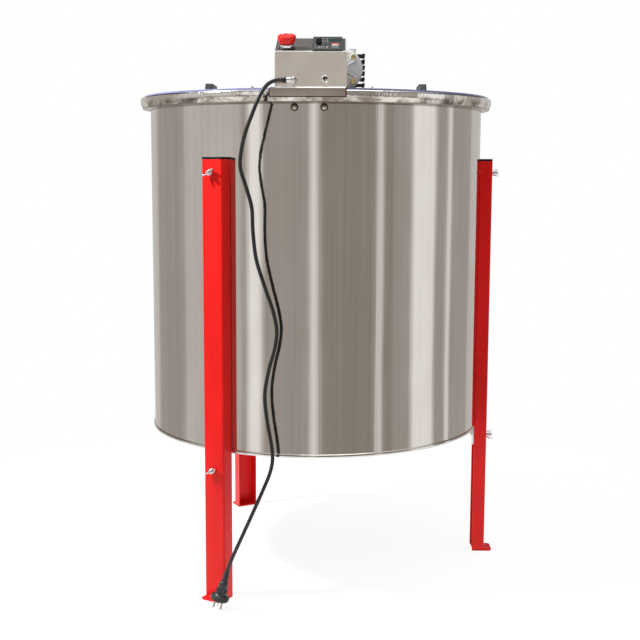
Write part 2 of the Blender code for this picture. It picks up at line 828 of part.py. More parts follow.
def make_box_fittings():
    x, z = TOGGLE_XZ
    look = facing_front(x, BOX_FRONT_Y, z)
    bush = turned(
        "toggle_bush",
        [
            (0.0050, 0.0045),
            (0.0060, 0.0030),
            (0.0060, GAP),
            (0.0030, GAP),
            (0.0030, -0.010),
            (0.0018, -0.010),
            (0.0018, -0.002),
            (0.0046, 0.0045),
        ],
        ROUND,
        look,
    )
    finish(bush, SILVER)
    lean = Matrix.Rotation(math.radians(TOGGLE_LEAN), 4, "Z")
    lever = turned(
        "toggle_lever",
        [
            (0, 0.0175),
            (0.0014, 0.0172),
            (0.0021, 0.0155),
            (0.0012, 0.0040),
            (0.0012, -0.0008),
            (0, -0.0008),
        ],
        SLIM,
        look @ lean @ Matrix.Rotation(math.radians(TOGGLE_REST), 4, "X"),
    )
    finish(lever, SILVER)

    x, z = GLAND_XZ
    look = facing_front(x, BOX_FRONT_Y, z)
    gland = turned(
        "cable_gland",
        [
            (0, 0.0195),
            (0.0050, 0.0190),
            (0.0070, 0.0170),
            (0.0070, 0.0055),
            (0.0095, 0.0050),
            (0.0095, GAP),
            (0.0060, GAP),
            (0.0060, -0.008),
            (0, -0.008),
        ],
        SHAFT_STEPS,
        look,
    )
    side = frame_at((x, CORD_ROUTE[0][1], z), (0, 0, 1), (0, 1, 0))
    barrel = rod("gland_barrel", 0.0062, 0.0, 0.0110, side, True)
    relief = rod("gland_relief", 0.0056, 0.0090, x - CORD_ROUTE[0][0] - GAP, side, True, ROUND, 0.0041)
    join(gland, barrel, relief)
    finish(gland, SILVER)


# ---------------------------------------------------------------- cord and plug


def smooth_route(points, steps):
    """Points along a Catmull-Rom curve through the route's points."""
    nodes = [Vector(p) for p in points]
    nodes = [2 * nodes[0] - nodes[1]] + nodes + [2 * nodes[-1] - nodes[-2]]
    found = []
    for i in range(1, len(nodes) - 2):
        a, b, c, d = nodes[i - 1 : i + 3]
        for k in range(steps):
            t = k / steps
            square = (2 * a - 5 * b + 4 * c - d) * t**2
            cube = (3 * b - a - 3 * c + d) * t**3
            found.append(0.5 * (2 * b + (c - a) * t + square + cube))
    found.append(nodes[-2])
    return found


def make_cord():
    curve = bpy.data.curves.new("power_cord", "CURVE")
    curve.dimensions = "3D"
    curve.bevel_depth = CORD_R
    curve.bevel_resolution = 2
    curve.use_fill_caps = True
    points = smooth_route(CORD_ROUTE, CORD_STEPS)
    spline = curve.splines.new("POLY")
    spline.points.add(len(points) - 1)
    for target, point in zip(spline.points, points):
        target.co = (*point, 1)
    finish(place("power_cord", curve), CORD_BLACK)

    tip = Vector(PLUG_TIP)
    entry = Vector(CORD_ROUTE[-1])
    up = (entry - tip).normalized()
    side = up.cross(Vector((0, 1, 0))).normalized()
    look = frame_at(tip, side, up.cross(side))
    reach = (entry - tip).length - GAP
    pins = 0.018
    plug = turned(
        "power_plug",
        [
            (0, reach),
            (0.0048, reach),
            (0.0068, reach - 0.022),
            (0.0100, reach - 0.026),
            (0.0150, pins + 0.012),
            (0.0182, pins + 0.005),
            (0.0182, pins),
            (0, pins),
        ],
        BORE_STEPS,
        look,
    )
    for x, y, turn in ((-0.0069, 0.004, 30), (0.0069, 0.004, -30), (0, -0.0078, 0)):
        spot = look @ Matrix.Translation((x, y, 0)) @ Matrix.Rotation(math.radians(turn), 4, "Z")
        half_w, half_t = (0.0008, 0.0031)
        join(plug, box("pin", (-half_w, -half_t, 0.0), (half_w, half_t, pins + 0.003), True, spot))
    finish(plug, CORD_BLACK)


# ---------------------------------------------------------------- drive


def fin_outline():
    """Motor section: a round core with six bulb-ended fins on each side."""
    core = 0.033
    reach = 0.0455
    neck = 0.0014
    bulb = 0.0026
    fins = 6
    heights = [FIN_PITCH * (i - (fins - 1) / 2) for i in range(fins)]
    right = []
    for height in heights:
        root = math.sqrt(core**2 - height**2) - 0.001
        right += [
            (root, height - neck),
            (reach - 0.006, height - neck),
            (reach - 0.004, height - bulb),
            (reach, height - bulb),
            (reach, height + bulb),
            (reach - 0.004, height + bulb),
            (reach - 0.006, height + neck),
            (root, height + neck),
        ]
    top = arc(core, 60, 120, 6)
    left = [(-x, z) for x, z in reversed(right)]
    bottom = arc(core, 240, 300, 6)
    return right + top + left + bottom


def make_motor():
    front = COVER_BACK_Y + GAP
    middle = facing_front(WORM_X, front + FIN_LENGTH / 2, WORM_Z)
    body = plate("motor_body", [fin_outline()], FIN_LENGTH, middle)
    back = facing_front(WORM_X, MOTOR_BACK_Y - GAP, WORM_Z)
    length = MOTOR_BACK_Y - GAP - front - FIN_LENGTH
    join(body, rod("motor_barrel", BARREL_R, 0.0, length + 0.002, back, segments=COVER_STEPS))
    body.modifiers[-1].use_self = True
    finish(body, BLACK_METAL)
    depth = COVER_BACK_Y - MOTOR_FRONT_Y
    cover = turned(
        "motor_end_cover",
        [
            (0, depth),
            (0.013, depth),
            (0.015, depth - 0.003),
            (0.034, depth - 0.004),
            (0.0395, depth - 0.007),
            (MOTOR_R, depth - 0.010),
            (MOTOR_R, 0),
            (0, 0),
        ],
        COVER_STEPS,
        facing_front(WORM_X, COVER_BACK_Y, WORM_Z),
    )
    finish(cover, CAST)


def make_gearbox():
    base = BRIDGE_TOP + GAP
    low = (-0.050, GEARBOX_FRONT_Y, base)
    housing = box("gearbox_housing", low, (0.086, GEARBOX_BACK_Y, GEARBOX_TOP))
    low = (0.024, MOTOR_BACK_Y + GAP, base)
    high = (0.084, GEARBOX_FRONT_Y + 0.004, MOTOR_FLANGE_TOP)
    flange = box("motor_flange", low, high, True)
    along = frame_at((WORM_X, 0, WORM_Z), (0, 0, 1), (1, 0, 0))
    join(housing, flange)
    cut(
        housing,
        rod("wheel_room", WHEEL_R + 0.0026, 1.008, 1.055, segments=GRIP_STEPS),
        rod("worm_room", WORM_R + 0.0016, -0.090, 0.044, along, segments=SHAFT_STEPS),
        rod("output_bore", 0.0124, base - 0.01, 1.012),
        rod("top_bore", SHAFT_TOP_R + 0.0004, 1.050, 1.0635),
    )
    finish(housing, CAST)

    thread_pitch = 0.008
    turns = 5
    core = 0.0095
    profile = [(0, 0.0700), (0.0060, 0.0700), (0.0060, 0.0260)]
    start = thread_pitch * turns / 2
    for i in range(turns):
        top = start - thread_pitch * i
        profile += [(core, top), (WORM_R, top - 0.0025), (WORM_R, top - 0.0045), (core, top - 0.0070)]
    profile += [(0.0080, -0.0240), (0.0080, -0.0420), (0, -0.0420)]
    worm = turned("worm_shaft", profile, ROUND, facing_front(WORM_X, 0, WORM_Z))
    finish(worm, ZINC)

    teeth = []
    root_r = WHEEL_R - 0.0035
    for i in range(WHEEL_TEETH):
        for radius, step in ((root_r, 0.0), (root_r, 0.30), (WHEEL_R, 0.45), (WHEEL_R, 0.85)):
            angle = 2 * math.pi * (i + step) / WHEEL_TEETH
            teeth.append((radius * math.cos(angle), radius * math.sin(angle)))
    wheel = plate("output_gear", [teeth], 0.014, Matrix.Translation((0, 0, WORM_Z)))
    shaft = turned(
        "output_shaft",
        [
            (0, 1.0625),
            (SHAFT_TOP_R, 1.0625),
            (SHAFT_TOP_R, 1.050),
            (0.017, 1.050),
            (0.017, 1.012),
            (SHAFT_TOP_R, 1.012),
            (SHAFT_TOP_R, SHAFT_SPLIT_Z + GAP),
            (0, SHAFT_SPLIT_Z + GAP),
        ],
        SHAFT_STEPS,
        None,
        True,
    )
    join(wheel, shaft)
    finish(wheel, BRONZE)


# ---------------------------------------------------------------- basket


def spider_outlines():
    """Outer ring, inner ring, hub and spokes of one end frame, cut from plate."""
    half_spoke = 0.004
    hub_edge = HUB_R - 0.002
    bands = ((hub_edge, INNER_RING_R - 0.004), (INNER_RING_R + 0.004, SPIDER_R - 0.010))
    shapes = [circle(SPIDER_R, FACETS), circle(SHAFT_R + GAP, SHAFT_STEPS)]
    step = 360 / SPOKES
    for inner, outer in bands:
        for i in range(SPOKES):
            centre = i * step
            lean_in = math.degrees(math.asin(half_spoke / inner))
            lean_out = math.degrees(math.asin(half_spoke / outer))
            near = arc(inner, centre - step / 2 + lean_in, centre + step / 2 - lean_in, 1)
            far = arc(outer, centre + step / 2 - lean_out, centre - step / 2 + lean_out, 3)
            shapes.append(near + far)
    return shapes


def make_basket():
    shaft = turned(
        "basket_shaft",
        [
            (0, SHAFT_SPLIT_Z - GAP),
            (SHAFT_TOP_R, SHAFT_SPLIT_Z - GAP),
            (SHAFT_TOP_R, 0.9047),
            (SHAFT_R, 0.9045),
            (SHAFT_R, 0.378),
            (SHAFT_TOP_R, 0.376),
            (SHAFT_TOP_R, 0.3590),
            (0.004, 0.3572),
            (0, 0.3570),
        ],
        SHAFT_STEPS,
    )
    finish(shaft, STEEL)

    sleeve = [
        (0.018, 0.948),
        (0.018, 0.905),
        (SHAFT_TOP_R + GAP, 0.905),
        (SHAFT_TOP_R + GAP, 0.948),
    ]
    finish(turned("shaft_coupling", sleeve, SHAFT_STEPS), STEEL)

    shapes = spider_outlines()
    low, high = SPIDER_Z
    cage = plate("basket_cage", shapes, SPIDER_THICK, Matrix.Translation((0, 0, low)))
    join(cage, plate("upper_spider", shapes, SPIDER_THICK, Matrix.Translation((0, 0, high)), True))
    for i in range(SPOKES):
        turn = Matrix.Rotation(math.radians(360 / SPOKES * (i + 0.5)), 4, "Z")
        foot_z = low - 0.001
        head_z = high + 0.001
        if i % 2 == 0:
            near = (SPIDER_R - 0.0075, -0.008, foot_z)
            far = (SPIDER_R - 0.0035, 0.008, head_z)
            join(cage, box("post", near, far, True, turn))
        if i % 4 == 0:
            near = (INNER_RING_R - 0.0025, -0.005, foot_z)
            far = (INNER_RING_R + 0.0015, 0.005, head_z)
            join(cage, box("inner_post", near, far, True, turn))
    finish(cage, STEEL)


# ---------------------------------------------------------------- lids


def chord_outline(inner_x, outer_x, count):
    """Slice of the lid's disc between two lines of constant x."""
    start = math.degrees(math.acos(min(1.0, outer_x / LID_R)))
    end = math.degrees(math.acos(inner_x / LID_R))
    if outer_x >= LID_R:
        return arc(LID_R, -end, end, count)
    return arc(LID_R, -end, -start, count) + arc(LID_R, start, end, count)


def hinge_leaf(name, x_low, x_high, knuckles, bore, side):
    """One leaf of a long hinge with its knuckles on the hinge line."""
    level = LID_BOTTOM + LID_THICK + GAP
    x_pair = sorted((side * x_low, side * x_high))
    leaf = box(name, (x_pair[0], -HINGE_HALF_L, level), (x_pair[1], HINGE_HALF_L, level + 0.0010))
    along = frame_at((side * HINGE_X, 0, HINGE_Z), (1, 0, 0), (0, 0, 1))
    pitch = 2 * HINGE_HALF_L / HINGE_KNUCKLES
    for i in range(HINGE_KNUCKLES):
        low = -HINGE_HALF_L + pitch * i
        if i not in knuckles:
            near = (-0.0030, -0.003, low - GAP)
            far = (0.0030, 0.0027, low + pitch + GAP)
            cut(leaf, box("leaf_slot", near, far, True, along))
    for i in knuckles:
        low = -HINGE_HALF_L + pitch * i
        join(leaf, rod("knuckle", HINGE_R, low + GAP, low + pitch - GAP, along, True, ROUND))
    past = HINGE_HALF_L + 0.01
    short = HINGE_HALF_L - 0.01
    if bore:
        return cut(leaf, rod("pin_bore", HINGE_PIN_R + GAP, -past, past, along, True, SLIM))
    return join(leaf, rod("pin", HINGE_PIN_R, -short, short, along, True, SLIM))


def handle_outline():
    """Side view of a lid handle: two feet and a raised grip."""
    base = LID_BOTTOM + LID_THICK + GAP
    half = HANDLE_HALF_L
    top = HANDLE_TOP
    grip = 0.011
    outer = [(-half, base), (-half, base + 0.004), (-half + 0.012, top - 0.004), (-half + 0.020, top)]
    outer += [(half - 0.020, top), (half - 0.012, top - 0.004), (half, base + 0.004), (half, base)]
    inner = [(half - 0.018, base), (half - 0.026, top - grip)]
    inner += [(-half + 0.026, top - grip), (-half + 0.018, base)]
    return outer + inner


def make_lids():
    middle = LID_BOTTOM + LID_THICK / 2
    for side, word in ((-1, "left"), (1, "right")):
        flip = Matrix.Rotation(math.pi, 4, "Z") if side < 0 else Matrix.Identity(4)
        pivot = (side * HINGE_X, 0, HINGE_Z)
        level = flip @ Matrix.Translation((0, 0, middle))
        strip_outline = chord_outline(STRIP_INNER_X[word], HINGE_X - LID_CLEARANCE, 3)
        finish(plate(f"lid_strip_{word}", [strip_outline], LID_THICK, level), ACRYLIC)
        lid = plate(f"lid_{word}", [chord_outline(HINGE_X + LID_CLEARANCE, LID_R, 30)], LID_THICK, level)
        finish(move_origin(lid, pivot), ACRYLIC)
        fixed = hinge_leaf(f"hinge_fixed_{word}", 0.0960, HINGE_X - 0.0012, (0, 2, 4), False, side)
        finish(fixed, STEEL)
        moving = hinge_leaf(f"hinge_moving_{word}", HINGE_X + 0.0012, 0.1280, (1, 3), True, side)
        finish(moving, STEEL)
        spot = frame_at((side * HANDLE_X, 0, 0), (0, 1, 0), (0, 0, 1))
        handle = plate(f"lid_handle_{word}", [handle_outline()], HANDLE_WIDTH, spot)
        finish(move_origin(handle, pivot), BLACK)


# ---------------------------------------------------------------- honey gate


def make_gate():
    spout = turned(
        "gate_body",
        [
            (0.0250, 0.0410),
            (0.0250, 0.0030),
            (0.0320, 0.0025),
            (0.0320, 0.0004),
            (GATE_BORE_R, 0.0004),
            (GATE_BORE_R, 0.0410),
        ],
        GRIP_STEPS,
        outward(GATE_ANGLE, TANK_R, GATE_Z),
    )
    shoulder_r = 0.012
    top_x = -GATE_PIVOT_UP - shoulder_r
    outline = arc(0.031, -150, 150, 20) + [(top_x, shoulder_r), (top_x, -shoulder_r)]
    seat = plate(
        "gate_seat",
        [outline, circle(GATE_BORE_R, GRIP_STEPS), circle(GATE_SCREW_HOLE_R, SLIM, (-GATE_PIVOT_UP, 0))],
        0.004,
        outward(GATE_ANGLE, GATE_SEAT_R, GATE_Z),
        True,
    )
    join(spout, seat)
    finish(spout, STEEL)

    pivot_frame = outward(GATE_ANGLE, GATE_SEAT_R + 0.002 + GAP, GATE_Z + GATE_PIVOT_UP)
    disc = arc(0.027, -150, 150, 18, (GATE_PIVOT_UP, 0))
    shoulder = arc(shoulder_r, 90, 270, 6)
    blade_thick = 0.004
    middle = pivot_frame @ Matrix.Translation((0, 0, blade_thick / 2))
    blade = plate("gate_blade", [disc + shoulder, circle(GATE_SCREW_HOLE_R, SLIM)], blade_thick, middle)
    lever = box("gate_lever", (-0.058, -0.006, 0.0010), (-0.009, 0.006, 0.0035), True, pivot_frame)
    join(blade, lever)
    finish(blade, STEEL)

    grip = turned(
        "gate_screw",
        [
            (0, 0.0180),
            (0.0060, 0.0180),
            (0.0075, 0.0160),
            (0.0075, 0.0043),
            (0.0030, 0.0043),
            (0.0030, -0.0090),
            (0, -0.0090),
        ],
        ROUND,
        pivot_frame,
    )
    ear_outline = [
        (-0.016, 0.009),
        (0.016, 0.009),
        (0.018, 0.020),
        (0.012, 0.022),
        (0.006, 0.016),
        (-0.006, 0.016),
        (-0.012, 0.022),
        (-0.018, 0.020),
    ]
    across = pivot_frame @ frame_at((0, 0, 0), (0, 1, 0), (0, 0, 1))
    ears = plate("screw_ears", [ear_outline], 0.003, across, True)
    join(grip, ears)
    finish(grip, ZINC)


def build():
    clear_scene()
    make_tank()
    make_legs()
    make_bridge()
    make_control_box()
    make_emergency_stop()
    make_speed_controller()
    make_box_fittings()
    make_cord()
    make_motor()
    make_gearbox()
    make_basket()
    make_lids()
    make_gate()


build()
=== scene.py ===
"""Looks of the electric radial honey extractor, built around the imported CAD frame.

Metres, +Z up. Shapes are laid out in the design frame, whose Z is the tank's axis. DESIGN moves them into the
CAD frame. Every finish is made of nodes in the piece's own coordinates.
"""

import math

import bmesh
import bpy
from mathutils import Matrix, Vector


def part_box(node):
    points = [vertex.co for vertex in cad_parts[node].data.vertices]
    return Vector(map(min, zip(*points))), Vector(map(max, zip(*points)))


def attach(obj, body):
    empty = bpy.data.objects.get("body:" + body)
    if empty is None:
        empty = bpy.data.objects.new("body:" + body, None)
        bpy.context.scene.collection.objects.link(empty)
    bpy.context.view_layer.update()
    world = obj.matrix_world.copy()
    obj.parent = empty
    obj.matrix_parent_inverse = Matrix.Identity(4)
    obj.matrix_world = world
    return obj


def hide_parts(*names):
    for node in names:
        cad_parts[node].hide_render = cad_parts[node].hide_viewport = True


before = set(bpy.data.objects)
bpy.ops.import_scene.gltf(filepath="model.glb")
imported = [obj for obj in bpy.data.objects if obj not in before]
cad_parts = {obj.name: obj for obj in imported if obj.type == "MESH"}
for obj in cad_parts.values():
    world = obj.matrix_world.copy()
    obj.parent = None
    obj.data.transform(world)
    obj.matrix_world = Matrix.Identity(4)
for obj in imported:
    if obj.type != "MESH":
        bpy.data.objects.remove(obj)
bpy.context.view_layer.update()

rim_low, rim_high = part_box("tank_rim")
AXIS_X = (rim_low.x + rim_high.x) / 2
DESIGN = Matrix.Translation((AXIS_X, 0, 0))

GAP = 0.0003
FINE = 192
ROUND = 48
SMALL = 24
SHARP_FROM = 35

TANK_R = 0.350
TANK_BOTTOM = 0.291
TANK_TOP = 0.984
LEG_ANGLES = {"right": 0, "rear_left": 120, "front_left": 240}
LEG_OUT_R = 0.377
LEG_TOP = 0.863
LEG_HALF_W = 0.0235
FOOT_R = 0.394
BOLT_LEVELS = {"upper": (0.834, 0.349), "lower": (0.260, 0.3489)}
BRIDGE_LEFT = -0.0785
BRIDGE_RIGHT = 0.0645
BRIDGE_END_Y = 0.373
BRIDGE_TOP = 0.990
BOX_LEFT = -0.0676
BOX_RIGHT = 0.0644
BOX_FRONT_Y = -0.360
BOX_FRONT_TOP = 1.0517
PANEL_TILT = math.atan2(0.0341, 0.100)
PANEL_FACE = 0.0021
ESTOP_UV = (-0.0445, 0.022)
KNOB_UV = (0.0140, 0.040)
ROCKER_UV = (0.0443, 0.022)
WORM_X = 0.054
WORM_Z = 1.0315
SCREW_CIRCLE = 0.0320
SCREW_ANGLES = (45, 135, 225, 315)
RIM_TOP = 0.9855
FLANGE_END_Y = 0.335
FLANGE_BOTTOM = 0.958
LIP_BOTTOM = 0.971
LID_R = 0.363
LID_BOTTOM = 0.9858
LID_THICK = 0.003
GATE_ANGLE = 60
GATE_Z = 0.338

BOLT_X = {"left": -0.0319, "right": 0.0231}
LID_STRIP_IN = {"left": 0.0808, "right": 0.0668}
LID_STRIP_OUT = 0.1105
LID_IN = 0.1135

CORD_R = 0.0036
CORD_STEPS = 6
CORD_ROUTE = [
    (-0.0560, -0.3730, 1.0014),
    (-0.0640, -0.3735, 1.0008),
    (-0.0765, -0.3765, 0.9955),
    (-0.0870, -0.3810, 0.9840),
    (-0.0965, -0.3845, 0.9660),
    (-0.1070, -0.3862, 0.9400),
    (-0.1190, -0.3860, 0.9080),
    (-0.1275, -0.3815, 0.8740),
    (-0.1295, -0.3790, 0.8425),
    (-0.1195, -0.3755, 0.8075),
    (-0.1095, -0.3725, 0.7695),
    (-0.1078, -0.3695, 0.7265),
    (-0.1020, -0.3670, 0.6745),
    (-0.0870, -0.3655, 0.6245),
    (-0.0710, -0.3645, 0.5765),
    (-0.0640, -0.3640, 0.5395),
    (-0.0680, -0.3635, 0.5050),
    (-0.0792, -0.3635, 0.4640),
    (-0.0868, -0.3635, 0.4165),
    (-0.0826, -0.3640, 0.3680),
    (-0.0744, -0.3655, 0.3210),
    (-0.0722, -0.3675, 0.2920),
    (-0.0772, -0.3705, 0.2665),
    (-0.0895, -0.3750, 0.2360),
    (-0.1092, -0.3810, 0.1915),
    (-0.1300, -0.3840, 0.1450),
    (-0.1480, -0.3845, 0.1045),
    (-0.1575, -0.3835, 0.0790),
]
PLUG_TIP = (-0.1790, -0.3790, 0.0030)


# -------- places


def frame_at(origin, x_axis, y_axis):
    """A right-handed frame from its origin and its first two axes."""
    x_dir = Vector(x_axis).normalized()
    y_dir = Vector(y_axis).normalized()
    turn = Matrix((x_dir, y_dir, x_dir.cross(y_dir))).transposed().to_4x4()
    return Matrix.Translation(origin) @ turn


def spin(angle_deg, axis="Z"):
    return Matrix.Rotation(math.radians(angle_deg), 4, axis)


def at(x, y, z):
    return Matrix.Translation((x, y, z))


def outward(angle_deg, radius, height):
    """Frame on the tank: Z outward, X down, Y along the wall."""
    return spin(angle_deg) @ at(radius, 0, height) @ spin(90, "Y")


def facing_front(x, y, z):
    """Frame whose Z points to the front, -Y, with X to the right."""
    return frame_at((x, y, z), (1, 0, 0), (0, 0, 1))


def panel_frame(u=0, v=0):
    """Frame on the sloping panel: X to the right, Y up the slope, Z out of the panel."""
    corner = ((BOX_LEFT + BOX_RIGHT) / 2, BOX_FRONT_Y, BOX_FRONT_TOP)
    slope = (0, math.cos(PANEL_TILT), math.sin(PANEL_TILT))
    return frame_at(corner, (1, 0, 0), slope) @ at(u, v, 0)


# -------- shapes


def arc(radius, start_deg, end_deg, count, centre=(0, 0)):
    points = []
    for i in range(count + 1):
        angle = math.radians(start_deg + (end_deg - start_deg) * i / count)
        points.append((centre[0] + radius * math.cos(angle), centre[1] + radius * math.sin(angle)))
    return points


def circle(radius, count=ROUND, centre=(0, 0)):
    return arc(radius, 0, 360 * (count - 1) / count, count - 1, centre)


def soft(points, radius, closed=True):
    """The polyline with each corner rounded off within the given distance."""
    made = []
    count = 4
    total = len(points)
    for i, point in enumerate(points):
        here = Vector(point)
        if not closed and i in (0, total - 1):
            made.append(tuple(here))
            continue
        before = Vector(points[i - 1]) - here
        after = Vector(points[(i + 1) % total]) - here
        start = here + before.normalized() * min(radius, before.length * 0.45)
        end = here + after.normalized() * min(radius, after.length * 0.45)
        for k in range(count + 1):
            t = k / count
            made.append(tuple(start * (1 - t) ** 2 + here * 2 * t * (1 - t) + end * t * t))
    return made


def lathe(profile, steps=ROUND, radius=0.0, ring=False):
    """A closed body of revolution about Z, its corners rounded off."""
    if radius:
        profile = soft(profile, radius, closed=ring)
    shape = bmesh.new()
    rows = []
    for r, z in profile:
        if r < 1e-7:
            rows.append([shape.verts.new((0, 0, z))])
            continue
        row = []
        for k in range(steps):
            angle = 2 * math.pi * k / steps
            row.append(shape.verts.new((r * math.cos(angle), r * math.sin(angle), z)))
        rows.append(row)
    pairs = list(zip(rows, rows[1:]))
    if ring:
        pairs.append((rows[-1], rows[0]))
    for upper, lower in pairs:
        for k in range(steps):
            following = (k + 1) % steps
            corners = [upper[k % len(upper)], upper[following % len(upper)]]
            corners += [lower[following % len(lower)], lower[k % len(lower)]]
            corners = list(dict.fromkeys(corners))
            if len(corners) > 2:
                shape.faces.new(corners)
    return closed_mesh(shape)


def closed_mesh(shape):
    bmesh.ops.recalc_face_normals(shape, faces=shape.faces)
    mesh = bpy.data.meshes.new("shape")
    shape.to_mesh(mesh)
    shape.free()
    return mesh


def block(low, high, bevel=0.0, segments=3):
    """A box with rounded edges."""
    shape = bmesh.new()
    bmesh.ops.create_cube(shape, size=1.0)
    size = [b - a for a, b in zip(low, high)]
    middle = [(a + b) / 2 for a, b in zip(low, high)]
    bmesh.ops.transform(shape, matrix=at(*middle) @ Matrix.Diagonal((*size, 1)), verts=shape.verts)
    if bevel:
        edges = shape.edges[:]
        bmesh.ops.bevel(shape, geom=edges, offset=bevel, segments=segments, profile=0.5, affect="EDGES")
    return closed_mesh(shape)


def plate(outlines, thickness, bevel=0.0, segments=2):
    """A flat plate from its outline and holes, centred on the XY plane, with rounded edges."""
    curve = bpy.data.curves.new("plate", "CURVE")
    curve.dimensions = "2D"
    curve.fill_mode = "BOTH"
    curve.extrude = thickness / 2 - bevel
    curve.bevel_depth = bevel
    curve.bevel_resolution = segments
    curve.offset = -bevel
    for points in outlines:
        spline = curve.splines.new("POLY")
        spline.points.add(len(points) - 1)
        for target, (x, y) in zip(spline.points, points):
            target.co = (x, y, 0, 1)
        spline.use_cyclic_u = True
    return evaluated(curve)


def tube(points, radius, resolution=4, radii=None):
    """A round bar along 3D points."""
    curve = bpy.data.curves.new("tube", "CURVE")
    curve.dimensions = "3D"
    curve.bevel_depth = radius
    curve.bevel_resolution = resolution
    curve.use_fill_caps = True
    spline = curve.splines.new("POLY")
    spline.points.add(len(points) - 1)
    for i, (target, point) in enumerate(zip(spline.points, points)):
        target.co = (*point, 1)
        target.radius = radii[i] if radii else 1.0
    return evaluated(curve)


def evaluated(curve):
    """The welded mesh of a curve."""
    loose = bpy.data.objects.new("loose", curve)
    bpy.context.scene.collection.objects.link(loose)
    bpy.context.view_layer.update()
    graph = bpy.context.evaluated_depsgraph_get()
    mesh = bpy.data.meshes.new_from_object(loose.evaluated_get(graph))
    bpy.data.objects.remove(loose, do_unlink=True)
    bpy.data.curves.remove(curve)
    mesh.materials.clear()
    shape = bmesh.new()
    shape.from_mesh(mesh)
    bpy.data.meshes.remove(mesh)
    bmesh.ops.remove_doubles(shape, verts=shape.verts, dist=0.000004)
    return closed_mesh(shape)


def moved(mesh, matrix):
    mesh = mesh.copy()
    mesh.transform(matrix)
    return mesh


def merged(*meshes):
    """Several meshes as one, each keeping its own closed shells."""
    shape = bmesh.new()
    for mesh in meshes:
        shape.from_mesh(mesh)
    made = bpy.data.meshes.new("shape")
    shape.to_mesh(made)
    shape.free()
    return made


def carved(mesh, *tools):
    """The mesh with tool shapes cut out of it."""
    item = bpy.data.objects.new("blank", mesh)
    bpy.context.scene.collection.objects.link(item)
    loose = [item]
    for shape in tools:
        tool = bpy.data.objects.new("tool", shape)
        bpy.context.scene.collection.objects.link(tool)
        loose.append(tool)
        change = item.modifiers.new("cut", "BOOLEAN")
        change.operation = "DIFFERENCE"
        change.solver = "EXACT"
        change.object = tool
    bpy.context.view_layer.update()
    graph = bpy.context.evaluated_depsgraph_get()
    result = bpy.data.meshes.new_from_object(item.evaluated_get(graph))
    for each in loose:
        bpy.data.objects.remove(each, do_unlink=True)
    return result


def plug_tool(radius):
    """A short round plug to cut a hole with."""
    return lathe([(0, 0.02), (radius, 0.02), (radius, -0.02), (0, -0.02)], ROUND)


def piece(name, mesh, body, finish, matrix=None, nodes=()):
    """Add a finished piece that rides on a body and may stand for CAD nodes."""
    mesh = moved(mesh, DESIGN @ matrix if matrix else DESIGN)
    item = bpy.data.objects.new(name, mesh)
    bpy.context.scene.collection.objects.link(item)
    if not mesh.materials:
        mesh.materials.append(finish)
        mesh.shade_smooth()
        mesh.set_sharp_from_angle(angle=math.radians(SHARP_FROM))
    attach(item, body)
    if nodes:
        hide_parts(*nodes)
    return item


def keep(node, finish, bevel=0.0, limit=40, segments=3):
    """Show a CAD node with a better finish and, on request, softened edges."""
    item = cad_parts[node]
    for place in item.material_slots:
        place.material = finish
    if bevel:
        weld = item.modifiers.new("weld", "WELD")
        weld.merge_threshold = 0.00001
        flat = item.modifiers.new("flat", "DECIMATE")
        flat.decimate_type = "DISSOLVE"
        flat.angle_limit = math.radians(0.5)
        round_off = item.modifiers.new("round", "BEVEL")
        round_off.width = bevel
        round_off.segments = segments
        round_off.limit_method = "ANGLE"
        round_off.angle_limit = math.radians(limit)
        round_off.harden_normals = True
    return item


def smooth_route(points, steps):
    """Points along a Catmull-Rom curve through the route's points."""
    nodes = [Vector(p) for p in points]
    nodes = [2 * nodes[0] - nodes[1]] + nodes + [2 * nodes[-1] - nodes[-2]]
    found = []
    for i in range(1, len(nodes) - 2):
        a, b, c, d = nodes[i - 1 : i + 3]
        for k in range(steps):
            t = k / steps
            cubic = (3 * b - a - 3 * c + d) * t**3
            found.append(0.5 * (2 * b + (c - a) * t + (2 * a - 5 * b + 4 * c - d) * t**2 + cubic))
    found.append(nodes[-2])
    return found


# -------- finishes


class Nodes:
    """Short calls that add and join nodes in one tree."""

    def __init__(self, tree):
        self.tree = tree

    def add(self, kind, **settings):
        made = self.tree.nodes.new(kind)
        for key, value in settings.items():
            setattr(made, key, value)
        return made

    def link(self, source, target):
        self.tree.links.new(source, target)

    def feed(self, target, value):
        """Link a socket to the target, or set the target to a number or a colour."""
        if isinstance(value, (int, float)):
            target.default_value = value
        elif isinstance(value, tuple):
            target.default_value = (*value, 1)
        else:
            self.link(value, target)

    def span(self, value, low, high, to_low=0.0, to_high=1.0):
        made = self.add("ShaderNodeMapRange", interpolation_type="SMOOTHSTEP")
        numbers = {"From Min": low, "From Max": high, "To Min": to_low, "To Max": to_high}
        for key, number in {"Value": value, **numbers}.items():
            self.feed(made.inputs[key], number)
        return made.outputs["Result"]

    def math(self, operation, a, b=0.0):
        made = self.add("ShaderNodeMath", operation=operation)
        self.feed(made.inputs[0], a)
        self.feed(made.inputs[1], b)
        return made.outputs["Value"]

    def mix(self, factor, a, b):
        made = self.add("ShaderNodeMix", data_type="RGBA")
        for key, value in (("Factor", factor), ("A", a), ("B", b)):
            self.feed(made.inputs[key], value)
        return made.outputs["Result"]


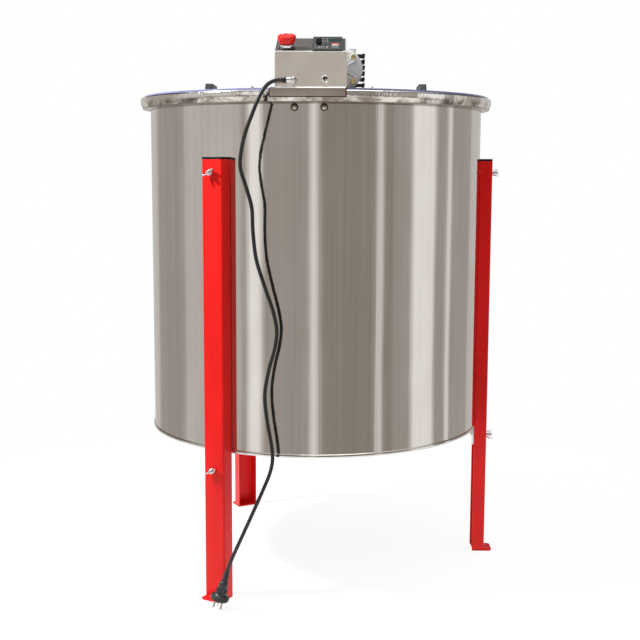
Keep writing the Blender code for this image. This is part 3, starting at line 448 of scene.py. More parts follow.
class Finish(Nodes):
    """A material made of nodes around one Principled shader."""

    def __init__(self, name, colour, roughness, **fixed):
        self.material = bpy.data.materials.new(name)
        self.material.use_nodes = True
        super().__init__(self.material.node_tree)
        self.shader = self.tree.nodes["Principled BSDF"]
        self.shader.inputs["Base Color"].default_value = (*colour, 1)
        self.shader.inputs["Roughness"].default_value = roughness
        for key, value in fixed.items():
            self.shader.inputs[key.replace("_", " ")].default_value = value
        self.place = self.add("ShaderNodeTexCoord").outputs["Object"]
        self.normal = None

    def noise(self, scale, detail=3.0, rough=0.55, distortion=0.0):
        """Noise with its own scale per metre along X, Y and Z."""
        stretch = self.add("ShaderNodeMapping")
        stretch.inputs["Scale"].default_value = scale
        self.link(self.place, stretch.inputs["Vector"])
        made = self.add("ShaderNodeTexNoise")
        numbers = {"Scale": 1.0, "Detail": detail, "Roughness": rough, "Distortion": distortion}
        for key, number in numbers.items():
            made.inputs[key].default_value = number
        self.link(stretch.outputs["Vector"], made.inputs["Vector"])
        return made.outputs["Fac"]

    def axis(self, letter):
        parts = self.add("ShaderNodeSeparateXYZ")
        self.link(self.place, parts.inputs["Vector"])
        return parts.outputs[letter]

    def colour(self, source):
        self.link(source, self.shader.inputs["Base Color"])

    def roughness(self, source):
        self.link(source, self.shader.inputs["Roughness"])

    def bump(self, height, distance):
        made = self.add("ShaderNodeBump")
        made.inputs["Distance"].default_value = distance
        made.inputs["Strength"].default_value = 1.0
        self.link(height, made.inputs["Height"])
        if self.normal:
            self.link(self.normal, made.inputs["Normal"])
        self.normal = made.outputs["Normal"]
        self.link(self.normal, self.shader.inputs["Normal"])


def rolled_steel():
    """Bright rolled sheet: upright grain, soft streaks from rolling and a slow ripple."""
    made = Finish("rolled_steel", (0.68, 0.64, 0.60), 0.09, Metallic=1.0)
    grain = made.noise((520, 520, 2.2), 4, 0.65)
    streak = made.noise((70, 70, 0.35), 4, 0.7)
    cloud = made.noise((9, 9, 4), 4, 0.55, 0.6)
    pale = made.mix(made.span(cloud, 0.3, 0.7), (0.70, 0.665, 0.63), (0.76, 0.735, 0.71))
    tone = made.mix(made.span(grain, 0.30, 0.70), (0.63, 0.60, 0.565), pale)
    made.colour(made.mix(made.span(streak, 0.35, 0.60), tone, pale))
    both = made.math("MULTIPLY", grain, cloud)
    made.roughness(made.span(both, 0.12, 0.40, 0.045, 0.10))
    made.bump(made.noise((6, 6, 0.9), 1, 0.4), 0.0012)
    made.bump(streak, 0.00010)
    made.bump(grain, 0.000010)
    return made.material


def polished_steel():
    """Polished steel, slightly uneven."""
    made = Finish("polished_steel", (0.78, 0.76, 0.735), 0.1, Metallic=1.0)
    cloud = made.noise((30, 30, 90), 4, 0.6, 0.4)
    made.colour(made.mix(cloud, (0.70, 0.675, 0.64), (0.84, 0.825, 0.81)))
    made.roughness(made.span(cloud, 0.3, 0.7, 0.10, 0.20))
    made.bump(made.noise((26, 26, 12), 3, 0.6), 0.0008)
    made.bump(made.noise((700, 700, 700), 2), 0.000008)
    return made.material


def rim_steel_painted_light():
    """Pressed and polished rim, a little wavy round the tank, with painted light: a paler upper face as
    painted reflection, a darker lower face and a dark line at its foot as painted shade.
    """
    made = Finish("rim_steel_painted_light", (0.78, 0.76, 0.735), 0.1, Metallic=1.0)
    cloud = made.noise((26, 26, 60), 4, 0.6, 0.4)
    height = made.axis("Z")
    # Painted light: the upper face is paler as a painted reflection, and the lower face is darker as painted
    # shade.
    upper = made.mix(cloud, (0.66, 0.62, 0.58), (0.97, 0.96, 0.95))
    lower = made.mix(made.span(cloud, 0.35, 0.65), (0.27, 0.22, 0.18), (0.86, 0.82, 0.76))
    face = made.mix(made.span(height, RIM_TOP - 0.0055, RIM_TOP - 0.0160), upper, lower)
    # Painted shade: a dark line along the rim's foot.
    foot = made.span(height, RIM_TOP - 0.0205, RIM_TOP - 0.0222)
    made.colour(made.mix(foot, face, (0.16, 0.13, 0.11)))
    made.roughness(made.span(cloud, 0.3, 0.7, 0.06, 0.15))
    made.bump(made.noise((26, 26, 12), 3, 0.6), 0.0022)
    made.bump(made.noise((700, 700, 700), 2), 0.000008)
    return made.material


def satin_steel():
    """Ground stainless sheet with its grain across the machine."""
    made = Finish("satin_steel", (0.93, 0.87, 0.81), 0.3, Metallic=1.0)
    grain = made.noise((14, 900, 900), 4, 0.65)
    cloud = made.noise((22, 22, 22), 3)
    made.colour(made.mix(made.span(cloud, 0.3, 0.7), (0.90, 0.835, 0.77), (0.96, 0.90, 0.84)))
    made.roughness(made.span(grain, 0.25, 0.75, 0.27, 0.36))
    made.bump(grain, 0.000012)
    made.bump(made.noise((16, 16, 16), 1), 0.0005)
    return made.material


def bridge_steel_painted_light():
    """Folded bridge sheet: brown satin face, a painted highlight along the outer bend and painted shade at
    the ends and foot of the front lip.
    """
    made = Finish("bridge_steel_painted_light", (0.56, 0.47, 0.42), 0.3, Metallic=1.0)
    grain = made.noise((14, 900, 900), 4, 0.65)
    cloud = made.noise((22, 22, 22), 3)
    face = made.mix(made.span(cloud, 0.3, 0.7), (0.56, 0.47, 0.42), (0.64, 0.54, 0.49))
    # Painted highlight along the outer bend at the top of the lip.
    bend = made.span(made.axis("Z"), BRIDGE_TOP - 0.0042, BRIDGE_TOP - 0.0028)
    face = made.mix(bend, face, (0.97, 0.95, 0.93))
    # Painted shade at both ends of the front lip and along its foot.
    left = (DESIGN @ Vector((BRIDGE_LEFT, 0, 0))).x
    right = (DESIGN @ Vector((BRIDGE_RIGHT, 0, 0))).x
    left_end_shade = made.span(made.axis("X"), left + 0.0030, left + 0.0018)
    right_end_shade = made.span(made.axis("X"), right - 0.0030, right - 0.0018)
    end_shade = made.math("MAXIMUM", left_end_shade, right_end_shade)
    foot = made.span(made.axis("Z"), LIP_BOTTOM + 0.0022, LIP_BOTTOM + 0.0012)
    front = made.span(made.axis("Y"), 0.004 - BRIDGE_END_Y, 0.003 - BRIDGE_END_Y)
    dark = made.math("MULTIPLY", made.math("MAXIMUM", end_shade, foot), front)
    made.colour(made.mix(dark, face, (0.045, 0.035, 0.030)))
    made.roughness(made.span(grain, 0.25, 0.75, 0.27, 0.36))
    made.bump(grain, 0.000012)
    return made.material


def bright_zinc(name="bright_zinc", low=(0.70, 0.71, 0.73), high=(0.90, 0.90, 0.91)):
    made = Finish(name, high, 0.2, Metallic=1.0)
    cloud = made.noise((260, 260, 260), 4, 0.6)
    made.colour(made.mix(cloud, low, high))
    made.roughness(made.span(cloud, 0.3, 0.7, 0.07, 0.20))
    made.bump(made.noise((1500, 1500, 1500), 2), 0.00001)
    return made.material


def red_paint():
    """Powder coat over folded steel: orange peel, a near-black band at the leg tops and scuffs low down."""
    made = Finish("red_paint", (0.80, 0.010, 0.008), 0.3, Specular_IOR_Level=0.22)
    peel = made.noise((420, 420, 420), 2, 0.5)
    cloud = made.noise((18, 18, 6), 3)
    body = made.mix(made.span(cloud, 0.3, 0.7), (0.74, 0.008, 0.007), (0.86, 0.011, 0.009))
    height = made.axis("Z")
    spots = made.span(made.noise((160, 160, 160), 5, 0.7), 0.60, 0.66)
    chips = made.math("MULTIPLY", made.span(height, 0.05, 0.0), spots)
    # A near-black band along the top of each leg.
    dark_top_band = made.span(height, LEG_TOP - 0.0048, LEG_TOP - 0.0042)
    worn = made.mix(chips, body, (0.16, 0.10, 0.09))
    made.colour(made.mix(dark_top_band, worn, (0.012, 0.010, 0.011)))
    made.roughness(made.span(peel, 0.3, 0.7, 0.26, 0.38))
    made.bump(peel, 0.00004)
    made.bump(made.noise((11, 11, 3), 1), 0.0006)
    return made.material


def rocker_plastic():
    """Switch cap, red above and pale below, with a soft line between."""
    made = Finish("rocker_plastic", (0.80, 0.016, 0.010), 0.22, Coat_Weight=0.3)
    cloud = made.noise((400, 400, 400), 3)
    red = made.mix(cloud, (0.62, 0.012, 0.010), (0.86, 0.030, 0.020))
    pale = made.mix(cloud, (0.42, 0.62, 0.64), (0.66, 0.84, 0.86))
    split = (panel_frame(*ROCKER_UV) @ Vector((0, -0.001, 0))).y
    made.colour(made.mix(made.span(made.axis("Y"), split - 0.0003, split + 0.0003), pale, red))
    made.roughness(made.span(cloud, 0.3, 0.7, 0.18, 0.30))
    made.bump(cloud, 0.00002)
    return made.material


def stop_plastic():
    made = Finish("stop_plastic", (0.80, 0.016, 0.010), 0.2, Specular_IOR_Level=0.35)
    cloud = made.noise((120, 120, 120), 3)
    made.colour(made.mix(cloud, (0.72, 0.008, 0.006), (0.84, 0.014, 0.009)))
    made.roughness(made.span(cloud, 0.3, 0.7, 0.16, 0.27))
    made.bump(made.noise((1800, 1800, 1800), 2), 0.00001)
    return made.material


def cast_metal():
    """Sand-cast aluminium: pitted skin, pale high spots."""
    made = Finish("cast_metal", (0.75, 0.77, 0.79), 0.45, Metallic=0.1)
    skin = made.noise((650, 650, 650), 5, 0.65)
    cloud = made.noise((60, 60, 60), 3)
    made.colour(made.mix(made.span(skin, 0.3, 0.7), (0.70, 0.72, 0.74), (0.92, 0.94, 0.96)))
    made.roughness(made.span(cloud, 0.3, 0.7, 0.36, 0.55))
    made.bump(skin, 0.00014)
    return made.material


def black_finish(name, tone, low, high, scale, distance, metallic=0.0):
    """A black surface with a fine grain."""
    made = Finish(name, (tone, tone, tone), high, Metallic=metallic)
    grain = made.noise(scale, 4, 0.6)
    made.colour(made.mix(grain, (tone * 0.7,) * 3, (tone * 1.5, tone * 1.5, tone * 1.55)))
    made.roughness(made.span(grain, 0.3, 0.7, low, high))
    made.bump(grain, distance)
    return made.material


def panel_sheet():
    """Grey panel sheet, brushed from side to side, with a painted highlight along its front edge and its
    right side.
    """
    made = Finish("panel_sheet", (0.20, 0.20, 0.205), 0.38, Metallic=0.5)
    grain = made.noise((20, 1400, 1400), 3, 0.6)
    field = made.mix(grain, (0.11, 0.105, 0.10), (0.19, 0.182, 0.175))
    # Painted highlight: a pale band along the panel's front edge and right side.
    painted_edge_highlight = made.mix(grain, (0.80, 0.79, 0.77), (0.95, 0.94, 0.92))
    front = made.span(made.axis("Y"), BOX_FRONT_Y + 0.0050, BOX_FRONT_Y + 0.0042)
    right = (DESIGN @ Vector((BOX_RIGHT, 0, 0))).x
    side = made.span(made.axis("X"), right - 0.0032, right - 0.0026)
    made.colour(made.mix(made.math("MAXIMUM", front, side), field, painted_edge_highlight))
    made.roughness(made.span(grain, 0.3, 0.7, 0.30, 0.46))
    made.bump(grain, 0.00003)
    return made.material


def clear_sheet():
    """Clear acrylic with a cold tint and hairline scratches."""
    made = Finish("clear_sheet", (0.86, 0.88, 0.99), 0.04, Transmission_Weight=1.0, IOR=1.49)
    hair = made.noise((260, 9, 260), 5, 0.7)
    made.colour(made.mix(hair, (0.83, 0.85, 0.98), (0.90, 0.92, 1.0)))
    made.roughness(made.span(hair, 0.5, 0.75, 0.02, 0.12))
    made.bump(made.noise((8, 8, 8), 1), 0.0004)
    return made.material


def sheet_edge():
    """The sawn and flamed edge of the acrylic, which gathers the tint."""
    made = Finish("sheet_edge", (0.30, 0.33, 0.72), 0.22, Transmission_Weight=0.35, IOR=1.49)
    saw = made.noise((300, 300, 40), 3)
    made.colour(made.mix(saw, (0.22, 0.24, 0.58), (0.46, 0.50, 0.90)))
    made.roughness(made.span(saw, 0.3, 0.7, 0.15, 0.35))
    made.bump(saw, 0.00004)
    return made.material


def bronze_metal():
    made = Finish("bronze_metal", (0.55, 0.36, 0.15), 0.3, Metallic=1.0)
    cloud = made.noise((90, 90, 90), 4)
    made.colour(made.mix(cloud, (0.46, 0.29, 0.11), (0.66, 0.45, 0.20)))
    made.roughness(made.span(cloud, 0.3, 0.7, 0.22, 0.42))
    made.bump(made.noise((60, 60, 1600), 3), 0.00003)
    return made.material


def dark_display():
    made = Finish("dark_display", (0.008, 0.07, 0.08), 0.08, Coat_Weight=0.6, Coat_Roughness=0.03)
    cloud = made.noise((300, 300, 300), 2)
    made.colour(made.mix(cloud, (0.004, 0.022, 0.026), (0.008, 0.050, 0.056)))
    made.bump(made.noise((90, 90, 90), 1), 0.00005)
    return made.material


def plain_paint(name, low, high, rough=0.4):
    """A small painted or moulded mark with a mottled tone."""
    made = Finish(name, high, rough)
    cloud = made.noise((500, 500, 500), 3)
    made.colour(made.mix(cloud, low, high))
    made.roughness(made.span(cloud, 0.3, 0.7, rough * 0.8, rough * 1.2))
    made.bump(cloud, 0.00001)
    return made.material


STEEL = rolled_steel()
POLISHED = polished_steel()
SATIN = satin_steel()
BRIDGE = bridge_steel_painted_light()
RIM_STEEL = rim_steel_painted_light()
ZINC = bright_zinc()
YELLOW_ZINC = bright_zinc("yellow_zinc", (0.70, 0.45, 0.16), (0.92, 0.72, 0.36))
NICKEL = bright_zinc("nickel_plate", (0.72, 0.71, 0.69), (0.90, 0.89, 0.87))
RED = red_paint()
BOLT_STEEL = bright_zinc("bolt_steel", (0.36, 0.31, 0.25), (0.66, 0.60, 0.51))
CHROME = bright_zinc("bright_chrome", (0.84, 0.83, 0.82), (0.95, 0.94, 0.93))
STOP = stop_plastic()
ROCKER = rocker_plastic()
CAST = cast_metal()
ANODISED = black_finish("anodised", 0.022, 0.35, 0.55, (900, 20, 900), 0.00004, 0.4)
BLACK = black_finish("moulded_black", 0.018, 0.32, 0.48, (1300, 1300, 1300), 0.00005)
HOUSING = black_finish("housing_grey", 0.040, 0.32, 0.50, (1300, 1300, 1300), 0.00004)
RUBBER = black_finish("cord_rubber", 0.013, 0.30, 0.45, (900, 900, 900), 0.00003)
PANEL = panel_sheet()
CLEAR = clear_sheet()
CLEAR_EDGE = sheet_edge()
BRONZE = bronze_metal()
DISPLAY = dark_display()
PALE_MARK = plain_paint("pale_mark", (0.30, 0.33, 0.36), (0.50, 0.54, 0.58))
WHITE_MARK = plain_paint("white_mark", (0.62, 0.62, 0.62), (0.80, 0.80, 0.80))
# Seal washer under the cap bolts: a dark brown ring whose tone is partly painted shade round the domes.
SEAL_AND_SHADE = plain_paint("seal_ring_and_shade", (0.030, 0.022, 0.016), (0.075, 0.055, 0.040), 0.35)
PIN_METAL = bright_zinc("pin_metal", (0.24, 0.23, 0.22), (0.48, 0.46, 0.43))


# -------- studio


def studio_room():
    """A warm plain room with upright soft boxes round it, and a pale background for the camera."""
    world = bpy.data.worlds.new("studio")
    bpy.context.scene.world = world
    world.use_nodes = True
    room = Nodes(world.node_tree)
    room.tree.nodes.clear()

    parts = room.add("ShaderNodeSeparateXYZ")
    room.link(room.add("ShaderNodeTexCoord").outputs["Generated"], parts.inputs["Vector"])
    across, along, up = parts.outputs
    turn = room.math("ARCTAN2", across, room.math("MULTIPLY", along, -1.0))
    turn = room.math("MULTIPLY", turn, 180 / math.pi)
    share = ROOM_SHARE
    for centre, width, part in SOFT_BOXES:
        off_centre = room.math("ABSOLUTE", room.math("SUBTRACT", turn, centre))
        box = room.span(off_centre, width / 2 + SOFT_EDGE, width / 2 - SOFT_EDGE)
        share = room.math("ADD", room.math("MULTIPLY", box, part), share)
    ring = room.mix(share, DARK_TONE, BOX_TONE)

    off_level = room.math("ABSOLUTE", room.math("ADD", up, 0.04))
    tone = room.mix(room.span(off_level, 0.20, 0.34), ring, (0.06, 0.058, 0.056))
    tone = room.mix(room.span(up, 0.60, 0.80), tone, (0.60, 0.60, 0.60))
    tone = room.mix(room.span(up, -0.33, -0.40), tone, (0.56, 0.55, 0.54))

    lit = room.add("ShaderNodeBackground")
    lit.inputs["Strength"].default_value = ROOM_STRENGTH
    room.feed(lit.inputs["Color"], tone)
    plain = room.add("ShaderNodeBackground")
    room.feed(plain.inputs["Color"], (1, 1, 1))
    choice = room.add("ShaderNodeMixShader")
    room.link(room.add("ShaderNodeLightPath").outputs["Is Camera Ray"], choice.inputs["Fac"])
    room.link(lit.outputs["Background"], choice.inputs[1])
    room.link(plain.outputs["Background"], choice.inputs[2])
    out = room.add("ShaderNodeOutputWorld")
    room.link(choice.outputs["Shader"], out.inputs["Surface"])


ROOM_STRENGTH = 1.7
ROOM_SHARE = 0.2
SOFT_EDGE = 2.5
DARK_TONE = (0.13, 0.11, 0.09)
BOX_TONE = (0.70, 0.69, 0.68)
# A soft box: degrees from the front, width in degrees and part of full light. Below zero it is a flag.
SOFT_BOXES = [
    (-160, 40, 0.2),
    (-75, 50, 0.2),
    (-40, 10, 0.6),
    (0, 5, 0.5),
    (30, 50, -0.1),
    (45, 5, 0.5),
    (80, 20, 0.6),
    (105, 5, 0.5),
    (155, 40, 0.2),
]


def area_light(name, spot, target, size, power, colour=(1, 1, 1)):
    light = bpy.data.lights.new(name, "AREA")
    light.shape = "DISK"
    light.size = size
    light.energy = power
    light.color = colour
    item = bpy.data.objects.new(name, light)
    bpy.context.scene.collection.objects.link(item)
    item.location = spot
    item.rotation_euler = (Vector(target) - Vector(spot)).to_track_quat("-Z", "Y").to_euler()
    return item


def floor_finish():
    """Pale floor, mostly bright by itself, that fades out towards its edge."""
    made = Finish("floor_pale", (0.18, 0.18, 0.18), 0.7, Specular_IOR_Level=0.1, Emission_Strength=0.88)
    cloud = made.noise((3, 3, 3), 3)
    made.colour(made.mix(cloud, (0.17, 0.17, 0.17), (0.19, 0.19, 0.19)))
    made.link(made.mix(cloud, (0.99, 0.99, 0.99), (1.0, 1.0, 1.0)), made.shader.inputs["Emission Color"])
    away = made.add("ShaderNodeVectorMath", operation="LENGTH")
    made.link(made.place, away.inputs[0])
    made.link(made.span(away.outputs["Value"], 0.75, 1.25, 1.0, 0.0), made.shader.inputs["Alpha"])
    return made.material


def studio():
    studio_room()
    area_light("key", (-2.55, -0.75, 3.1), (0, -0.1, 0.6), 0.45, 160, (1.0, 0.985, 0.96))
    area_light("top", (0.6, -1.2, 3.4), (0, 0, 0.8), 2.2, 14)
    disc = bmesh.new()
    bmesh.ops.create_circle(disc, cap_ends=True, segments=96, radius=1.3)
    ground = bpy.data.objects.new("floor", closed_mesh(disc))
    ground.data.materials.append(floor_finish())
    ground.location = (0, 0, -0.0005)
    bpy.context.scene.collection.objects.link(ground)

    lens = bpy.data.cameras.new("camera")
    lens.sensor_width = 36
    lens.lens = 64.9
    camera = bpy.data.objects.new("camera", lens)
    bpy.context.scene.collection.objects.link(camera)
    heading = Matrix.Rotation(0.0186, 4, "Z")
    pitch = spin(90 - 7.57, "X")
    roll = Matrix.Rotation(0.0039, 4, "Z")
    camera.matrix_world = at(0.0452, -2.5062, 0.8455) @ heading @ pitch @ roll
    bpy.context.scene.camera = camera
    bpy.context.scene.view_settings.view_transform = "Standard"


# -------- cord and plug


def make_cord():
    curve = bpy.data.curves.new("mains_lead", "CURVE")
    curve.dimensions = "3D"
    curve.bevel_depth = CORD_R
    curve.bevel_resolution = 6
    curve.use_fill_caps = True
    points = smooth_route(CORD_ROUTE, CORD_STEPS)
    spline = curve.splines.new("POLY")
    spline.points.add(len(points) - 1)
    for target, point in zip(spline.points, points):
        target.co = (*point, 1)
    spline.use_smooth = True
    curve.materials.append(RUBBER)
    lead = bpy.data.objects.new("mains_lead", curve)
    bpy.context.scene.collection.objects.link(lead)
    lead.matrix_world = DESIGN
    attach(lead, "frame")
    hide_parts("power_cord")

    tip = Vector(PLUG_TIP)
    entry = Vector(CORD_ROUTE[-1])
    up = (entry - tip).normalized()
    side = up.cross(Vector((0, 1, 0))).normalized()
    look = frame_at(tip, side, up.cross(side))
    reach = (entry - tip).length - GAP
    pins = 0.018
    sleeve = [(0, reach), (0.0045, reach)]
    for i in range(7):
        top = reach - 0.0016 - 0.0031 * i
        swell = 0.0004 * i * 0.7
        sleeve += [(0.0048 + swell, top), (0.0048 + swell, top - 0.0019)]
        sleeve += [(0.0041 + swell, top - 0.0023), (0.0041 + swell, top - 0.0028)]
    head = [
        (0.0064, reach - 0.0232),
        (0.0080, reach - 0.0248),
        (0.0088, reach - 0.0275),
        (0.0093, pins + 0.0170),
        (0.0104, pins + 0.0120),
        (0.0135, pins + 0.0088),
        (0.0174, pins + 0.0070),
        (0.0182, pins + 0.0052),
        (0.0182, pins + 0.0006),
        (0.0178, pins),
        (0, pins),
    ]
    moulding = [lathe(sleeve + head, 40, 0.0005)]
    for i in range(10):
        rib = block((0.0080, -0.0006, pins + 0.0130), (0.0106, 0.0006, pins + 0.0235), 0.0003)
        moulding.append(moved(rib, spin(36 * i)))
    plug = piece("plug_moulding", merged(*moulding), "frame", BLACK, look, ["power_plug"])
    blades = []
    for x, y, turn in ((-0.0069, 0.004, 30), (0.0069, 0.004, -30), (0, -0.0078, 0)):
        blade = block((-0.0008, -0.0031, 0.0), (0.0008, 0.0031, pins + 0.002), 0.0003)
        blades.append(moved(blade, at(x, y, 0) @ spin(turn)))
    pins_piece = piece("plug_pins", merged(*blades), "frame", PIN_METAL, look)


# -------- tank


def make_tank():
    wall = 0.001
    bead = 0.0030
    outer = [(TANK_R, TANK_TOP), (TANK_R, 0.700), (TANK_R, 0.450), (TANK_R, TANK_BOTTOM + 0.0075)]
    roll = [(TANK_R + bead * 0.75, TANK_BOTTOM + 0.0066), (TANK_R + bead, TANK_BOTTOM + 0.0036)]
    roll += [(TANK_R + bead * 0.75, TANK_BOTTOM + 0.0008), (TANK_R, TANK_BOTTOM)]
    roll += [(TANK_R - wall, TANK_BOTTOM)]
    shell = lathe(outer + roll + [(TANK_R - wall, TANK_TOP)], FINE, 0.0006, ring=True)
    tabs = []
    for angle in LEG_ANGLES.values():
        corners = [(-0.042, -0.014), (0.042, -0.014), (0.042, 0.014), (-0.042, 0.014)]
        tab = plate([soft(corners, 0.006)], 0.0025, 0.0003)
        tabs.append(moved(tab, outward(angle, 0.35015, 0.280)))
    shell = carved(shell, moved(plug_tool(0.021), outward(GATE_ANGLE, TANK_R, GATE_Z)))
    piece("tank_shell", merged(shell, *tabs), "frame", STEEL, nodes=["tank_wall"])

    inner = TANK_R + GAP
    rim = [(0.3462, 0.9700), (0.3462, 0.9840)]
    rim += [(0.3475, 0.98535), (0.3600, 0.98545), (0.3677, RIM_TOP), (0.3695, 0.9848), (0.3705, 0.9828)]
    rim += [(0.3707, 0.9790), (0.3706, 0.9760), (0.3699, 0.9730), (0.3690, 0.9700), (0.3678, 0.9662)]
    rim += [(0.3672, 0.9640), (0.3664, 0.9627), (0.3600, 0.9624), (inner, 0.9624)]
    rim += [(inner, 0.9636), (0.3656, 0.9636), (0.3664, 0.9652), (0.3688, 0.9740), (0.3693, 0.9820)]
    rim += [(0.3678, 0.9843), (0.3480, 0.9842), (0.3472, 0.9700)]
    ring = lathe(rim, FINE, 0.0007, ring=True)
    piece("rim_ring", ring, "frame", RIM_STEEL, nodes=["tank_rim"])

    skirt = 0.3484
    cone = [(0, 0.352), (0.040, 0.352), (0.2, 0.3306), (skirt, 0.311), (skirt, TANK_BOTTOM + 0.0005)]
    cone += [(skirt - wall, TANK_BOTTOM + 0.0005), (skirt - wall, 0.3098), (0.040, 0.3508), (0, 0.3508)]
    piece("floor_cone", lathe(cone, 128, 0.002), "frame", STEEL, nodes=["tank_floor"])

    base = 0.3523
    cup = [(0, base + 0.004), (0.0104, base + 0.004), (0.0104, base + 0.022), (0.020, base + 0.022)]
    cup += [(0.020, base + 0.005), (0.034, base + 0.003), (0.034, base), (0, base)]
    piece("bearing_housing", lathe(cup, ROUND, 0.0010), "frame", BRONZE, nodes=["bearing_cup"])


# -------- legs


def leg_mesh():
    """Channel, foot plate and its weld, in the leg's own frame with X outward."""
    half = LEG_HALF_W
    inner = TANK_R + GAP
    sheet = 0.002
    bend = 0.0035
    web_in = LEG_OUT_R - sheet
    channel = [(inner, -half)]
    channel += arc(bend, -90, 0, 8, (LEG_OUT_R - bend, -half + bend))
    channel += arc(bend, 0, 90, 8, (LEG_OUT_R - bend, half - bend))
    channel += [(inner, half), (inner, half - sheet)]
    inside = bend - sheet
    channel += arc(inside, 90, 0, 4, (web_in - inside, half - sheet - inside))
    channel += arc(inside, 0, -90, 4, (web_in - inside, -half + sheet + inside))
    channel += [(inner, -half + sheet)]
    height = LEG_TOP - GAP
    upright = moved(plate([channel], height, 0.0003, 1), at(0, 0, GAP + height / 2))
    thick = 0.003
    foot = [(TANK_R + 0.002, -half)] + arc(0.008, -90, 0, 8, (FOOT_R - 0.008, -half + 0.008))
    foot += arc(0.008, 0, 90, 8, (FOOT_R - 0.008, half - 0.008)) + [(TANK_R + 0.002, half)]
    hole = circle(0.0035, SMALL, (FOOT_R - 0.0085, 0))
    sole = moved(plate([foot, hole], thick, 0.0005), at(0, 0, thick / 2))
    bead = []
    for i in range(25):
        y = -half + 0.004 + (2 * half - 0.008) * i / 24
        bead.append((LEG_OUT_R + 0.0002, y, thick + 0.0002))
    weld = tube(bead, 0.0013, 3, [0.85 + 0.15 * (i % 2) for i in range(25)])
    return merged(upright, sole, weld)


def wing_nut_mesh():
    """A forged wing nut along Z with its seat at zero."""
    hub = [(0.0043, 0.0090), (0.0057, 0.0088), (0.0070, 0.0012), (0.0070, 0.0), (0.0043, 0.0)]
    parts = [lathe(hub, SMALL, 0.0006, True)]
    for side in (-1, 1):
        wing = [(0.0048, 0.0015), (0.0085, 0.0015), (0.0130, 0.0072), (0.0146, 0.0125), (0.0138, 0.0152)]
        wing += [(0.0118, 0.0154), (0.0095, 0.0125), (0.0070, 0.0085), (0.0048, 0.0078)]
        outline = soft([(side * x, y) for x, y in wing], 0.0016)
        parts.append(moved(plate([outline], 0.0030, 0.0011, 3), facing_front(0, 0, 0)))
    return merged(*parts)


def threaded_bolt_mesh():
    """Mushroom head behind zero and a ridged shank outwards."""
    length = 0.043
    profile = [(0, length), (0.0032, length), (0.0040, length - 0.0008)]
    z = length - 0.0012
    while z > 0.0015:
        profile += [(0.0040, z), (0.0040, z - 0.0003), (0.0034, z - 0.0007), (0.0040, z - 0.0012)]
        z -= 0.00125
    seat = -0.0008
    profile += [(0.0040, seat), (0.0085, seat), (0.0083, seat - 0.0012), (0.0065, seat - 0.0031)]
    profile += [(0.0035, seat - 0.0042), (0, seat - 0.0045)]
    return lathe(profile, SMALL)


def make_legs():
    leg = leg_mesh()
    nut = wing_nut_mesh()
    bolt = threaded_bolt_mesh()
    for side, angle in LEG_ANGLES.items():
        piece(f"leg_channel_{side}", leg, "frame", RED, spin(angle), [f"leg_{side}"])
        for level, (height, clamped_r) in BOLT_LEVELS.items():
            seat = outward(angle, clamped_r, height)
            piece(f"bolt_{level}_{side}", bolt, "frame", ZINC, seat, [f"leg_bolt_{level}_{side}"])
            seat = outward(angle, LEG_OUT_R + GAP, height) @ spin(-60)
            piece(f"nut_{level}_{side}", nut, "frame", ZINC, seat, [f"wing_nut_{level}_{side}"])


# -------- bridge and control head


def make_bridge():
    sheet = 0.002
    low = 0.940
    tray = block((BRIDGE_LEFT, -BRIDGE_END_Y, low), (BRIDGE_RIGHT, BRIDGE_END_Y, BRIDGE_TOP), 0.0036, 6)
    inner_low = (BRIDGE_LEFT + sheet, sheet - BRIDGE_END_Y, low - 0.01)
    inner_high = (BRIDGE_RIGHT - sheet, BRIDGE_END_Y - sheet, BRIDGE_TOP - sheet)
    wide = 0.1
    rest_end = BRIDGE_END_Y - sheet - 0.0002
    flange_end = FLANGE_END_Y
    cuts = [block(inner_low, inner_high, 0.0016)]
    cuts.append(block((-wide, -flange_end, low - 0.01), (wide, flange_end, FLANGE_BOTTOM)))
    on_rim = (flange_end - 0.0001, rest_end, RIM_TOP + GAP)
    at_lip = (rest_end - 0.0001, 0.4, LIP_BOTTOM)
    for low_y, high_y, height in (on_rim, at_lip):
        cuts.append(block((-wide, low_y, low - 0.01), (wide, high_y, height)))
        cuts.append(block((-wide, -high_y, low - 0.01), (wide, -low_y, height)))
    cuts.append(moved(plug_tool(0.014), at(0, 0, BRIDGE_TOP)))
    piece("bridge_tray", carved(tray, *cuts), "frame", BRIDGE, nodes=["bridge"])

    head = [(0, 0.0078), (0.0020, 0.0075), (0.0038, 0.0064), (0.0049, 0.0046), (0.0055, 0.0022)]
    head += [(0.0055, 0.0012), (0.0030, 0.0012), (0.0030, -0.0090), (0.0055, -0.0090)]
    head += [(0.0055, -0.0126), (0, -0.0126)]
    dome = lathe(head, ROUND, 0.0003)
    washer = lathe([(0.0031, 0.0011), (0.0071, 0.0009), (0.0074, 0.0), (0.0031, 0.0)], ROUND, 0.0003, True)
    for side, word in ((-1, "front"), (1, "rear")):
        keep(f"bridge_bracket_{word}", STEEL, 0.0004)
        for hand, x in BOLT_X.items():
            look = facing_front(x, -0.3498, 0.9543)
            if side > 0:
                look = spin(180) @ facing_front(-x, -0.3498, 0.9543)
            node = f"bridge_bolt_{word}_{hand}"
            piece(f"cap_bolt_{word}_{hand}", dome, "frame", BOLT_STEEL, look, [node])
            # Seal washer, dark brown in part as painted shade round the dome.
            piece(f"seal_{word}_{hand}", washer, "frame", SEAL_AND_SHADE, look)


def make_control_box():
    keep("control_box", SATIN, 0.0008)
    keep("control_panel", PANEL, 0.0003)
    keep("speed_controller", HOUSING, 0.0006)
    keep("display_window", DISPLAY)
    keep("rocker_switch", ROCKER, 0.0005)


